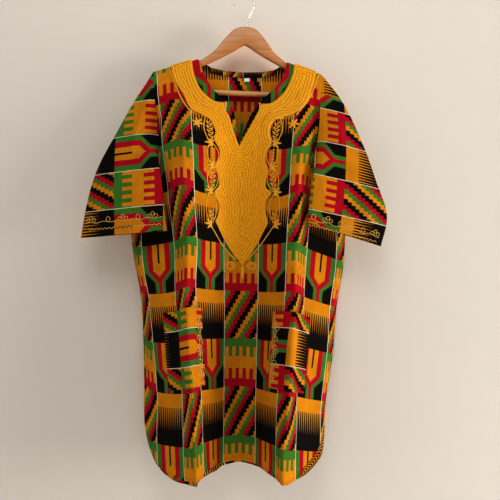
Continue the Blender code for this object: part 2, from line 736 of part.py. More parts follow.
def arm_stations(drape):
    """Distance, upper edge and lower edge, from the left tip to the right tip."""
    stations = [(x, top, foot) for x, top, foot in HEAD_OUTLINE]
    arms = {}
    for sign, tip in ((-1.0, TIP_LEFT), (1.0, TIP_RIGHT)):
        rows = [(x, arm_top(drape, sign * x, clear), foot) for x, foot, clear in ARM_UNDERSIDE]
        step = tip - EAR_WIDTH
        last, fall, _ = ARM_UNDERSIDE[-1]
        underside = fall - 0.47 * (step - last)
        rows.append((step, arm_top(drape, sign * step), underside))
        rows.append((step + EAR_STEP, arm_top(drape, sign * (step + EAR_STEP)), EAR_FOOT))
        rows.append((tip - 0.0045, arm_top(drape, sign * (tip - 0.0045)), EAR_FOOT))
        arms[sign] = [(sign * x, top, foot) for x, top, foot in rows]
    left = [(-x, top, foot) for x, top, foot in stations[:0:-1]]
    return arms[-1.0][::-1] + left + stations + arms[1.0]


def stadium(x, top, foot, half, steps=6):
    """Section of an arm: straight sides between two half rounds."""
    ring = []
    for k in range(steps + 1):
        angle = math.pi * k / steps
        ring.append((x, half * math.cos(angle), top - half + half * math.sin(angle)))
    for k in range(steps + 1):
        angle = math.pi + math.pi * k / steps
        ring.append((x, half * math.cos(angle), foot + half + half * math.sin(angle)))
    return ring


def add_rings(name, rings, finish):
    """Closed solid through rings of points, capped at both ends."""
    points = [point for ring in rings for point in ring]
    size = len(rings[0])
    faces = [tuple(range(size - 1, -1, -1))]
    for row in range(len(rings) - 1):
        for k in range(size):
            a = row * size + k
            b = row * size + (k + 1) % size
            faces.append((a, b, b + size, a + size))
    faces.append(tuple(len(points) - size + k for k in range(size)))
    return add_object(name, points, faces, finish)


def add_arms(drape, finish):
    half = 0.5 * WOOD
    stations = arm_stations(drape)
    rings = [stadium(x, top, foot, half) for x, top, foot in stations]
    for end, tip in ((0, -TIP_LEFT), (-1, TIP_RIGHT)):
        x, top, foot = stations[end]
        drop = abs(tip - x) * math.tan(SHOULDER_SLOPE) + 0.004
        ring = stadium(tip, top - drop, foot + 0.004, 0.5 * half)
        if end == 0:
            rings.insert(0, ring)
        else:
            rings.append(ring)
    rings = [[hanger_place(*point) for point in ring] for ring in rings]
    add_rings("hanger_arms", rings, finish)


def add_bar(finish):
    low = -(TIP_LEFT - EAR_WIDTH - BAR_GAP)
    high = TIP_RIGHT - EAR_WIDTH - BAR_GAP
    rings = []
    for x in (low, 0.5 * (low + high), high):
        ring = []
        for k in range(16):
            angle = 2.0 * math.pi * k / 16
            ring.append(hanger_place(x, BAR_RADIUS * math.cos(angle),
                                     BAR_Z + BAR_RADIUS * math.sin(angle)))
        rings.append(ring)
    add_rings("hanger_bar", rings, finish)


def add_hook(finish):
    """Wire from the head round the bend. The rail bears on the bend's inner top."""
    centre_z = WIRE_RADIUS - HOOK_RADIUS
    path = [(x, z) for x, z in STEM]
    path[0] = (path[0][0], hanger_place(0.0, 0.0, HEAD_OUTLINE[0][1])[2] + SEAM_GAP)
    for k in range(HOOK_STEPS + 1):
        angle = math.radians(HOOK_FROM + (HOOK_TO - HOOK_FROM) * k / HOOK_STEPS)
        path.append((HOOK_RADIUS * math.cos(angle), centre_z + HOOK_RADIUS * math.sin(angle)))
    path = np.array(path)
    along = np.gradient(path, axis=0)
    along /= np.linalg.norm(along, axis=1)[:, None]
    along[0] = (0.0, 1.0)
    rings = []
    for (x, z), (dx, dz) in zip(path, along):
        ring = []
        for k in range(10):
            angle = 2.0 * math.pi * k / 10
            out = WIRE_RADIUS * math.cos(angle)
            ring.append((x + out * dz, WIRE_RADIUS * math.sin(angle), z - out * dx))
        rings.append(ring)
    add_rings("hanger_hook", rings, finish)


def main():
    clear_scene()
    drape = Drape()
    shirt = Shirt(drape)
    shirt.sleeve("sleeve_left", ARMHOLE_LEFT, SLEEVE_FOLD_LEFT, SLEEVE_LENGTH_LEFT)
    shirt.sleeve("sleeve_right", ARMHOLE_RIGHT, SLEEVE_FOLD_RIGHT, SLEEVE_LENGTH_RIGHT)
    shirt.build(material("print", PRINT_COLOR))
    pocket = material("pocket_print", POCKET_COLOR)
    add_pocket("pocket_left", shirt, POCKET_LEFT, pocket)
    add_pocket("pocket_right", shirt, POCKET_RIGHT, pocket)
    add_neck_facing(drape, material("facing_print", FACING_COLOR))
    add_size_tag(drape, material("tag", TAG_COLOR))
    wood = material("wood", WOOD_COLOR, 0.45)
    add_arms(drape, wood)
    add_bar(wood)
    add_hook(material("chrome", CHROME_COLOR, 0.15, 1.0))


main()
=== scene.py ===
"""Long dashiki shirt on a wooden hanger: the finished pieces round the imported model.

Metres, +Z up, the front towards -Y. Left and right are the viewer's. A point of the
front or back has two cloth measures: s, across from the middle of the centre stripe,
and t, down from the shoulder fold. The print is drawn in the same measures, so it
follows the cloth through every fold.
"""

import math

import bmesh
import bpy
import numpy as np
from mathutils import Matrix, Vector


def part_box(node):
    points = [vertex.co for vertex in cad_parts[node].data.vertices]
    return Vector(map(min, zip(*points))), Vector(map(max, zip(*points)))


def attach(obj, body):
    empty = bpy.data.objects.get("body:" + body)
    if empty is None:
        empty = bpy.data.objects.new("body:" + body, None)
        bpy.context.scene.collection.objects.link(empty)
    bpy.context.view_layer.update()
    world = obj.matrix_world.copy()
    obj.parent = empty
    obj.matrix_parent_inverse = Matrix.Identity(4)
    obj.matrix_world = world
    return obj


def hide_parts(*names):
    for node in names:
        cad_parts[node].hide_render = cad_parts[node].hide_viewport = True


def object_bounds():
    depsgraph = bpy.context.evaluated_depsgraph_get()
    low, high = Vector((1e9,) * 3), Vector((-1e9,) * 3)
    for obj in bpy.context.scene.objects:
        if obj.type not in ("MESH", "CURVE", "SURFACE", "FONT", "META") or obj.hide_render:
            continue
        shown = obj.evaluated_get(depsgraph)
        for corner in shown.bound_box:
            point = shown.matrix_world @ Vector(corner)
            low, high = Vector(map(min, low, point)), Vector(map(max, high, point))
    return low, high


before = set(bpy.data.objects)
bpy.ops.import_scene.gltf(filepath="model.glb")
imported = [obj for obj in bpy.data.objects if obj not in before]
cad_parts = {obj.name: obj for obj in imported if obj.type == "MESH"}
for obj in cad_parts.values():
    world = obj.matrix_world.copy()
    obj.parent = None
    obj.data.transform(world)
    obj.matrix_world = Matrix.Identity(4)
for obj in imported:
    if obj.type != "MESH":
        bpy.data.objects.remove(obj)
CAD_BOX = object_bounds()

bl_info = {
    "name": "Dashiki Shirt",
    "version": (1, 0, 0),
    "blender": (4, 5, 0),
    "location": "View3D > Sidebar > Shirt",
    "description": "Printed and embroidered shirt on its hanger",
    "category": "Object",
}

# ------------------------------------------------------------ cut and hang of the cloth
STRIPE = 0.0805                 # width of one printed stripe
ROW = 0.112                     # height of one printed row
ROW_START = 0.088               # depth of the first boundary between rows
SHOULDER_Z = -0.1525
SHOULDER_SLOPE = math.radians(18.5)
SHOULDER_START = 0.088          # across, where the shoulder starts to slope
ROW_TILT = 0.040                # fall of the rows towards the right
FOLD_RADIUS = 0.0085            # bend of the cloth over the shoulder
CENTRE_X = -0.0041
CENTRE_LEAN = 0.0100            # of the centre line, to the left on the way down
SIDE_DROP = 0.044               # how much lower the sides hang than the middle
BIB_GATHER = 0.03               # share of the width taken up round the stiff bib
ARMHOLE = (-0.210, 0.184)       # across, left and right
ARMHOLE_DEPTH = 0.22
SIDE = (-0.334, 0.318)
FLARE_DEPTH = 0.30
SLIT_TOP = 0.815
HEM_DEPTH = 0.930
HEM_DIP = 0.014
HEM_CORNERS = ((0.125, 2.0), (0.160, 1.7))      # width and fullness, left and right
FIELD_END = 0.9699              # beneath this depth cloth hangs straight down
BACK_LONGER = 0.004             # the back's hem shows below the front's
# Folds of the left and of the right half, from the middle outwards: the slope of each
# strip of cloth in degrees at each depth, and the crest's place in stripes.
FOLD_COLUMNS = ("depth", "valley", "flank", "brow", "crest", "lee", "strip", "side")
FOLDS = (
    (
        (0.00, 0, 0, 0, 1.75, 0, 0, 0),
        (0.05, 0, 0, 0, 1.75, 0, -2, -6),
        (0.12, 4, 8, 2, 1.75, -26, -24, -34),
        (0.20, 6, 24, 10, 1.78, -30, -30, -40),
        (0.26, 7, 32, 20, 1.80, -38, -33, -44),
        (0.33, 8, 39, 30, 1.82, -46, -28, -50),
        (0.44, 10, 47, 45, 1.84, -55, -14, -62),
        (0.54, 18, 43, 54, 1.85, -58, -31, -62),
        (0.65, 22, 50, 52, 1.88, -63, -34, -58),
        (0.79, 26, 57, 66, 1.94, -60, -36, -48),
        (0.88, 25, 60, 73, 1.96, -53, -35, -46),
        (0.97, 25, 66, 71, 1.93, -52, -36, -48),
    ),
    (
        (0.00, 0, 0, 0, 1.75, 0, 0, 0),
        (0.05, 0, 0, 0, 1.75, 0, -2, -6),
        (0.12, 4, 6, 2, 1.75, -14, -24, -34),
        (0.20, 6, 20, 5, 1.75, -32, -32, -40),
        (0.26, 5, 29, 10, 1.75, -45, -34, -44),
        (0.33, 4, 37, 17, 1.76, -56, -30, -50),
        (0.44, 1, 43, 8, 1.78, -64, -24, -60),
        (0.54, 8, 45, 22, 1.80, -68, -33, -64),
        (0.65, 18, 51, 46, 1.85, -64, -35, -68),
        (0.79, 24, 57, 50, 1.90, -66, -40, -76),
        (0.88, 23, 58, 72, 1.93, -52, -42, -74),
        (0.97, 23, 58, 72, 1.95, -50, -42, -74),
    ),
)
TURN = 0.011                    # half width of the bend between two strips
CREST_TURN = 0.007              # the same at the fold's crest
STAND_OUT = (                   # depth, front, back
    (0.00, 0.000, 0.000),
    (0.06, 0.008, 0.004),
    (0.12, 0.016, 0.007),
    (0.20, 0.015, 0.010),
    (0.33, 0.012, 0.012),
    (0.97, 0.011, 0.012),
)
SAG = (                         # depth, within the bib, beyond it
    (0.00, 0.000, 0.000),
    (0.03, 0.006, 0.001),
    (0.06, 0.018, 0.003),
    (0.09, 0.030, 0.004),
    (0.12, 0.031, 0.004),
    (0.20, 0.028, 0.005),
    (0.31, 0.026, 0.009),
    (0.42, 0.020, 0.013),
    (0.54, 0.016, 0.013),
    (0.65, 0.013, 0.012),
    (0.97, 0.012, 0.011),
)
SAG_SPREAD = (1.2, 2.2)         # stripes from the middle, from bib to beyond it
BACK_FOLLOWS = 0.85             # share of the front's forward folds in the back
BACK_TRAILS = 1.12              # the same for the hollows
SEAM_ROUND = 0.075              # from a sewn edge to where front and back are apart
NECK_MIDDLE = -0.0015
FRONT_NECK = (                  # across, depth, from the left corner to the right one
    (-0.1075, 0.000), (-0.1068, 0.003), (-0.104, 0.010), (-0.100, 0.020), (-0.094, 0.036),
    (-0.083, 0.054), (-0.072, 0.066), (-0.056, 0.077), (-0.041, 0.086), (-0.027, 0.092),
    (-0.020, 0.112), (-0.0135, 0.148), (-0.0065, 0.1850), (0.0065, 0.145), (0.019, 0.113),
    (0.038, 0.088), (0.052, 0.078), (0.066, 0.067), (0.078, 0.059), (0.090, 0.046),
    (0.097, 0.030), (0.1015, 0.010), (0.1040, 0.003), (0.1045, 0.000),
)
BACK_NECK = (
    (-0.1075, 0.000), (-0.1065, 0.0020), (-0.104, 0.0065), (-0.1005, 0.0120),
    (-0.092, 0.018), (-0.0765, 0.027), (-0.0455, 0.033), (-0.0015, 0.035),
    (0.0425, 0.033), (0.0735, 0.027), (0.089, 0.018), (0.0975, 0.0120), (0.101, 0.0065),
    (0.1035, 0.0020), (0.1045, 0.000),
)
# Soft creases pressed or pulled into the panels: from and to, in cloth measures, how
# far the cloth stands out of its fold (in, when negative), and half its width.
CREASE_COLUMNS = ("s0", "t0", "s1", "t1", "rise", "width")
CREASES = {
    "front": (
        (-0.165, 0.060, -0.205, 0.190, 0.0022, 0.010),
        (-0.135, 0.150, -0.200, 0.260, -0.0018, 0.012),
        (-0.205, 0.225, -0.300, 0.330, 0.0026, 0.011),
        (-0.190, 0.260, -0.270, 0.420, -0.0020, 0.014),
        (-0.300, 0.380, -0.318, 0.560, 0.0022, 0.010),
        (-0.240, 0.420, -0.262, 0.560, 0.0014, 0.012),
        (-0.115, 0.300, -0.092, 0.520, -0.0015, 0.012),
        (-0.030, 0.500, -0.040, 0.700, 0.0013, 0.016),
        (0.020, 0.560, 0.034, 0.800, -0.0014, 0.014),
        (0.095, 0.210, 0.075, 0.420, -0.0014, 0.012),
        (0.165, 0.040, 0.198, 0.330, -0.0090, 0.010),
        (0.190, 0.220, 0.285, 0.330, 0.0024, 0.011),
        (0.180, 0.270, 0.250, 0.420, -0.0020, 0.013),
        (0.285, 0.400, 0.300, 0.600, 0.0020, 0.011),
        (0.240, 0.640, 0.262, 0.840, -0.0016, 0.012),
        (-0.285, 0.640, -0.275, 0.840, -0.0016, 0.012),
        (-0.130, 0.770, -0.118, 0.915, 0.0012, 0.010),
        (0.110, 0.760, 0.100, 0.905, 0.0012, 0.010),
    ),
    "back": (
        (-0.150, 0.050, -0.060, 0.130, 0.0020, 0.012),
        (0.140, 0.060, 0.050, 0.140, 0.0018, 0.012),
        (-0.200, 0.215, -0.295, 0.340, 0.0026, 0.011),
        (0.180, 0.215, 0.280, 0.340, 0.0026, 0.011),
        (-0.120, 0.180, -0.135, 0.480, -0.0020, 0.014),
        (0.115, 0.200, 0.125, 0.520, -0.0020, 0.014),
        (-0.040, 0.260, -0.060, 0.600, 0.0018, 0.016),
        (0.055, 0.360, 0.040, 0.700, 0.0016, 0.016),
        (-0.260, 0.480, -0.250, 0.760, 0.0022, 0.013),
        (0.245, 0.500, 0.255, 0.780, 0.0022, 0.013),
        (0.000, 0.640, -0.010, 0.900, -0.0016, 0.014),
    ),
}
# The same on each layer of a sleeve: from and to, as shares of the way down the sleeve
# and from the underarm to the fold, then rise, and half width in shares.
SLEEVE_CREASES = (
    (0.05, 0.80, 0.55, 0.55, 0.0022, 0.055),
    (0.10, 0.35, 0.70, 0.75, -0.0020, 0.060),
    (0.30, 0.12, 0.95, 0.30, 0.0020, 0.050),
    (0.45, 0.62, 0.98, 0.80, 0.0018, 0.045),
)

# ------------------------------------------------------------ sleeves
SLEEVES = {
    "sleeve_left": {
        "side": 0,
        "fold": ((0.000, 0.000), (0.0375, 0.057), (0.087, 0.152), (0.127, 0.238),
                 (0.148, 0.316), (0.161, 0.390)),
        "length": 0.400,
        # The print is turned a quarter: its lines run across the sleeve. line: height of
        # one line at line_x, gap to the next, and lean. edge: place across of the end of
        # one of the print's rows at edge_z, its lean and curve, and its print measure.
        "line_z": -0.4274, "line_gap": 0.0838, "line_lean": 0.078, "line_x": -0.29,
        "edge_x": -0.2965, "edge_z": -0.340, "edge_lean": -0.034, "edge_curve": 0.0,
        "edge_depth": 0.200,
        "top_shift": 0.0,
    },
    "sleeve_right": {
        "side": 1,
        "fold": ((0.000, 0.000), (0.037, 0.046), (0.092, 0.163), (0.121, 0.252),
                 (0.145, 0.338), (0.131, 0.402)),
        "length": 0.372,
        "line_z": -0.4478, "line_gap": 0.0814, "line_lean": -0.20, "line_x": 0.23,
        "edge_x": 0.2333, "edge_z": -0.296, "edge_lean": 0.0, "edge_curve": -0.31,
        "edge_depth": 0.312, "top_shift": 0.145,
    },
}
SLEEVE_FORWARD = 0.026
SLEEVE_FOLD_Y = -0.033
SLEEVE_SWELL = 0.013
UNDERARM_STEP = np.array((0.004, -0.002, 0.006))
SEAM_END = 0.18                 # down the armhole, to where the sleeve leaves the body

# Strips of hem facing that show: where, how wide and how far beyond the front's hem at
# each end, how far off the front, how far the print leans at both edges, how far from
# each end the strip is whole, and, in stripes, where its print starts and repeats.
HEM_STRIPS = {
    "facing_under_left": {"across": (-0.322, -0.150), "beyond": (0.003, 0.0085),
                          "width": (0.012, 0.014), "lift": -0.0018, "lean": 0.0,
                          "fade": (0.060, 0.005), "print": (0.90, 9.0)},
    "facing_under_middle": {"across": (-0.112, 0.075), "beyond": (0.0080, 0.0045),
                            "width": (0.014, 0.012), "lift": -0.0018, "lean": 0.0,
                            "fade": (0.055, 0.040), "print": (0.85, 9.0)},
    "facing_over_left": {"across": (-0.128, -0.050), "beyond": (0.0006, 0.0006),
                         "width": (0.009, 0.008), "lift": 0.0009, "lean": 0.0,
                         "fade": (0.012, 0.012), "print": (0.54, 0.88)},
    "facing_over_right": {"across": (0.212, 0.3176), "beyond": (0.0008, 0.0008),
                          "width": (0.014, 0.0230), "lift": 0.0009, "lean": 0.0100,
                          "fade": (0.030, 0.012), "print": (0.54, 0.88)},
}

# ------------------------------------------------------------ pockets
POCKETS = {
    # across: outer and inner edge. line: depth of the print's first line.
    # edge: place across of the end of one of the print's rows, and its print measure.
    "pocket_left": {"across": (-0.2415, -0.1075), "line": 0.705, "edge": -0.193,
                    "edge_depth": 0.200},
    "pocket_right": {"across": (0.2214, 0.089), "line": 0.697, "edge": 0.141,
                     "edge_depth": 0.312},
}
POCKET_DEPTHS = (0.58, 0.751)
POCKET_LIFT = 0.0023

# ------------------------------------------------------------ printed motifs
# Shares of a stripe across and of a row down; the first two are in metres.
LINE_HALF = 0.00085             # half width of the white line between two stripes
PRINT_WOBBLE = (0.0010, 0.0012)     # uneven edges, across and down
COMB = {"teeth": 12.5, "top": 0.27, "grows": (0.29, 0.72), "power": 0.80,
        "width": 0.38, "growth": 0.645}
U_STEPS = 26.0                  # in which the nested blocks narrow down the row
U_BLOCKS = (                    # colour, starts to narrow, half width, ends, half width
    ("green", 0.52, 0.50, 0.74, 0.17),
    ("red", 0.52, 0.345, 0.74, 0.055),
    ("yellow", 0.50, 0.185, 0.63, 0.0),
)
U_STEM = {"half": 0.027, "foot": 0.38}
FINGERS = {"start": 0.04, "pitch": 0.2135}
LETTER_EDGES = (0.835, 0.622, 0.378, 0.173)     # lower ends of its bands, lowest first
# Diagonals: the four colours take a period, and move by shift at each step down.
DIAGONALS = {"start": 0.32, "steps": 11.3, "shift": 0.072, "period": 0.587,
             "edges": (3.0, 2.10, 1.15)}

# ------------------------------------------------------------ sewing and linings
SEWN_STEP = 0.0034
SEWN_LENGTH = 0.0024
SEWN_THREAD = 0.00030
HEM_SEAM = 0.0065               # above the edge of the hem
POCKET_SEAM = 0.0035            # within the pocket's edge
LINING_WALL = 0.0006            # hem strips and tag
FACING_WALL = 0.0008
FACING_HALF = 0.078             # half width, depth and lift of the neck facing
FACING_DEPTH = 0.0125
FACING_LIFT = -0.0026

# ------------------------------------------------------------ gold embroidery
# Outline of the band and bib, in cloth measures; each run is one smooth curve.
BIB_RUNS = (
    ((-0.121, 0.003), (-0.117, 0.033), (-0.110, 0.052), (-0.099, 0.068), (-0.073, 0.087),
     (-0.046, 0.092)),
    ((-0.046, 0.092), (-0.043, 0.106), (-0.033, 0.121), (-0.0255, 0.146), (-0.0165, 0.171),
     (-0.0072, 0.1945)),
    ((-0.0072, 0.1945), (0.004, 0.171), (0.0195, 0.142), (0.036, 0.111), (0.044, 0.092)),
    ((0.044, 0.092), (0.068, 0.088), (0.090, 0.075), (0.105, 0.056), (0.115, 0.036),
     (0.121, 0.003)),
    ((0.121, 0.003), (0.171, 0.003)),
    ((0.171, 0.003), (0.162, 0.049), (0.150, 0.085), (0.122, 0.108), (0.090, 0.119),
     (0.071, 0.131), (0.064, 0.147), (0.064, 0.163), (0.070, 0.183), (0.059, 0.201),
     (0.056, 0.223), (0.063, 0.246), (0.058, 0.273), (0.059, 0.288), (0.073, 0.301),
     (0.060, 0.317), (0.058, 0.339), (0.066, 0.373)),
    ((0.066, 0.373), (0.040, 0.416), (0.015, 0.457), (0.003, 0.474)),
    ((0.003, 0.474), (-0.014, 0.453), (-0.038, 0.419), (-0.066, 0.374)),
    ((-0.066, 0.374), (-0.056, 0.351), (-0.056, 0.331), (-0.068, 0.305), (-0.056, 0.287),
     (-0.056, 0.271), (-0.066, 0.244), (-0.055, 0.222), (-0.054, 0.206), (-0.068, 0.179),
     (-0.064, 0.160), (-0.069, 0.147), (-0.075, 0.135), (-0.088, 0.126), (-0.104, 0.117),
     (-0.122, 0.108), (-0.138, 0.080), (-0.160, 0.043), (-0.168, 0.003)),
    ((-0.168, 0.003), (-0.121, 0.003)),
)
TAG_INSET = (0.0015, 0.0022)
STITCH_ROW = 0.0064             # between the rows of chain stitch
STITCH_RISE = 0.0020
BIB_WALL = 0.0012
BIB_STEP = 0.0018               # width of the bib's mesh cells
BIB_LIFT = 0.0004               # between the cloth and the bib
CORD = 0.0012                   # half width of the couched cords
CORD_LIFT = 0.0006
# Side chains, keyed by the way to the bib: 1.0 at the left and -1.0 at the right.
# crossings: of the twin cords, from the top.
CHAINS = {
    1.0: {"start": (-0.084, 0.122), "star": (-0.107, 0.142),
          "crossings": ((-0.075, 0.190), (-0.072, 0.243), (-0.077, 0.302), (-0.080, 0.382)),
          "tail": ((-0.084, 0.380), (-0.052, 0.421), (-0.016, 0.462)),
          "ring": (-0.0255, 0.478),
          "edge": ((-0.172, 0.012), (-0.161, 0.050), (-0.145, 0.087), (-0.126, 0.114))},
    -1.0: {"start": (0.086, 0.120), "star": (0.120, 0.136),
           "crossings": ((0.078, 0.185), (0.073, 0.240), (0.084, 0.301), (0.087, 0.377)),
           "tail": ((0.088, 0.374), (0.052, 0.418), (0.014, 0.462)),
           "ring": (0.0255, 0.477),
           "edge": ((0.175, 0.012), (0.166, 0.049), (0.154, 0.079), (0.126, 0.114))},
}
OVAL = (0.0165, 0.0125)         # bulge of the chain's arcs, towards the bib and away
LILY = ((178.0, 0.0190), (216.0, 0.0165), (134.0, 0.0170), (262.0, 0.0110), (98.0, 0.0100))
STAR_RAY = 0.0140
SCRIBBLE = {"pitch": 0.0105, "swing": 0.0072, "curl": 0.0030, "aside": 0.0015}
CURL_RADIUS = 0.0110            # of the ring at the end of a chain
CHAIN_CORD = 0.0013
PETAL = 0.0029
TAIL_CORD = 0.0017
DROP = 0.0048                   # half width of the drop below the bib
# Narrow borders of loops on the cuffs and the pockets' inner edges. Each runs from one
# place to another; the loops stand beside it, at shares of its length.
BORDERS = {
    "sleeve_left": {"line": ((-0.3585, -0.5425), (-0.1795, -0.5300)),
                    "loop": 0.0044, "zigzag": 0.0150, "trefoils": (0.070, 0.500, 0.880),
                    "loops": (0.305, 0.695)},
    "sleeve_right": {"line": ((0.1420, -0.5340), (0.3060, -0.5730)),
                     "loop": 0.0044, "zigzag": 0.0120, "trefoils": (0.250, 0.550, 0.930),
                     "loops": (0.060, 0.430, 0.750)},
    "pocket_left": {"line": ((-0.1145, 0.595), (-0.1145, 0.744)),
                    "loop": 0.0047, "zigzag": -0.0060, "trefoils": (0.170, 0.520, 0.860),
                    "loops": (0.345, 0.690)},
    "pocket_right": {"line": ((0.0965, 0.744), (0.0965, 0.595)),
                     "loop": 0.0058, "zigzag": -0.0060, "trefoils": (0.150, 0.500, 0.840),
                     "loops": (0.330, 0.680)},
}
BORDER_CORD = 0.00075
BORDER_WAVE = (0.0016, 0.0345)  # height and length of the wavy line
THREAD_LIFT = 0.0004

# ------------------------------------------------------------ hanger
HEAD_X = 0.0059
WOOD = 0.012
CORNER_CLEAR = 0.0046
WOOD_CLEAR = 0.0021
HEAD_OUTLINE = (                # distance from the middle, upper edge, lower edge
    (0.000, -0.0785, -0.1220),
    (0.013, -0.0800, -0.1290),
    (0.025, -0.0845, -0.1370),
    (0.040, -0.0988, -0.1455),
    (0.053, -0.1146, -0.1530),
    (0.068, -0.1346, -0.1608),
    (0.086, -0.1500, -0.1698),
)
ARM_UNDERSIDE = ((0.105, -0.1785, CORNER_CLEAR), (0.130, -0.1900, WOOD_CLEAR))
EAR_WIDTH = 0.0185
EAR_STEP = 0.0012
EAR_FOOT = -0.2480
TIPS = (0.2030, 0.1720)
BAR_RADIUS = 0.0062
BAR_Z = -0.2350
WIRE_RADIUS = 0.0018
HOOK_RADIUS = 0.0240
STEM = ((0.0071, -0.0785), (0.0075, -0.0680), (0.0090, -0.0590), (0.0132, -0.0500),
        (0.0180, -0.0420))
HOOK_FROM = -33.0
HOOK_TO = 196.0

CAMERA_PLACE = (0.0129, -1.22, -0.6025)
CAMERA_LENS = 37.38             # with a 36 mm sensor
WALL_GAP = 0.004
WALL_TOP = 3.5
FLOOR_Z = -1.45
STAGE_HALF = 6
# Lamps: place, aim, size, and power as a share of the key light's.
LAMPS = {
    "key": ((3.3, -1.03, -0.82), (0.0, 0.0, -0.58), 1.15, 1.0),
    "top": ((-0.1, -1.2, 0.8), (0.0, 0.0, -0.35), 0.9, 0.115),
    "side": ((-1.9, -1.3, -0.9), (-0.3, 0.0, -0.9), 1.4, 0.07),
    "behind": ((0.6, 2.0, 0.3), (0.0, 0.0, -0.6), 1.8, 0.65),
}


# ------------------------------------------------------------ curves and cloth
def smooth_step(value):
    """3v^2 - 2v^3, with v held between 0 and 1."""
    value = np.clip(value, 0.0, 1.0)
    return value * value * (3.0 - 2.0 * value)


def unit(vectors):
    """Each vector over its length; a vector of no length stays so."""
    return vectors / (np.linalg.norm(vectors, axis=-1, keepdims=True) + 1e-12)


def run_along(points):
    """Distance of each point from the first, summed over the straight steps."""
    return np.concatenate(([0.0], np.cumsum(np.linalg.norm(np.diff(points, axis=0), axis=1))))


def way_and_aside(a, b):
    """Unit directions in the plane: from a to b, and a quarter turn from that."""
    way = unit(b - a)
    return way, np.array((way[1], -way[0]))


def curve_through(knots, values, at):
    """Cubic through a table, with the slope at each row taken from its neighbours."""
    knots = np.asarray(knots, float)
    values = np.asarray(values, float)
    slope = np.gradient(values, knots)
    at = np.clip(at, knots[0], knots[-1])
    low = np.clip(np.searchsorted(knots, at, side="right") - 1, 0, len(knots) - 2)
    width = knots[low + 1] - knots[low]
    u = (at - knots[low]) / width
    return ((1 + 2 * u) * (1 - u) ** 2 * values[low] + u * (1 - u) ** 2 * width * slope[low]
            + u * u * (3 - 2 * u) * values[low + 1] + u * u * (u - 1) * width * slope[low + 1])


def smooth_line(points, step=0.003):
    """Even points along a smooth curve through the given ones: each measure is a cubic
    of the distance along the straight line through the points."""
    points = np.asarray(points, float)
    run = run_along(points)
    at = np.linspace(0.0, run[-1], max(2, int(run[-1] / step) + 1))
    if len(points) < 3:
        return np.stack([np.interp(at, run, column) for column in points.T], axis=-1)
    return np.stack([curve_through(run, column, at) for column in points.T], axis=-1)


def by_side(s, pair):
    """The pair's first value left of the middle, and its second to the right."""
    return np.where(np.asarray(s) < 0.0, pair[0], pair[1])


def flare(s):
    """Depth of the underarm edge: a quarter ellipse from the armhole to the side."""
    armhole, side = by_side(s, ARMHOLE), by_side(s, SIDE)
    share = np.clip((side - s) / (side - armhole), 0.0, 1.0)
    return ARMHOLE_DEPTH + (FLARE_DEPTH - ARMHOLE_DEPTH) * np.sqrt(1.0 - share * share)


def hem(s):
    """Depth of the hem: a slight arch, then a rounded corner at each side slit."""
    side = by_side(s, SIDE)
    base = HEM_DEPTH + HEM_DIP * smooth_step(np.abs(s) / (1.9 * STRIPE))
    width = by_side(s, (HEM_CORNERS[0][0], HEM_CORNERS[1][0]))
    fullness = by_side(s, (HEM_CORNERS[0][1], HEM_CORNERS[1][1]))
    into = np.maximum(width - np.abs(side - s), 0.0) / width
    arc = np.maximum(1.0 - into ** fullness, 0.0) ** (1.0 / fullness)
    return base - (base - SLIT_TOP) * (1.0 - arc)


def neck(s, table):
    """Depth of the neckline, along straight lines between the table's points."""
    rows = np.array(table)
    return np.interp(s, rows[:, 0], rows[:, 1])


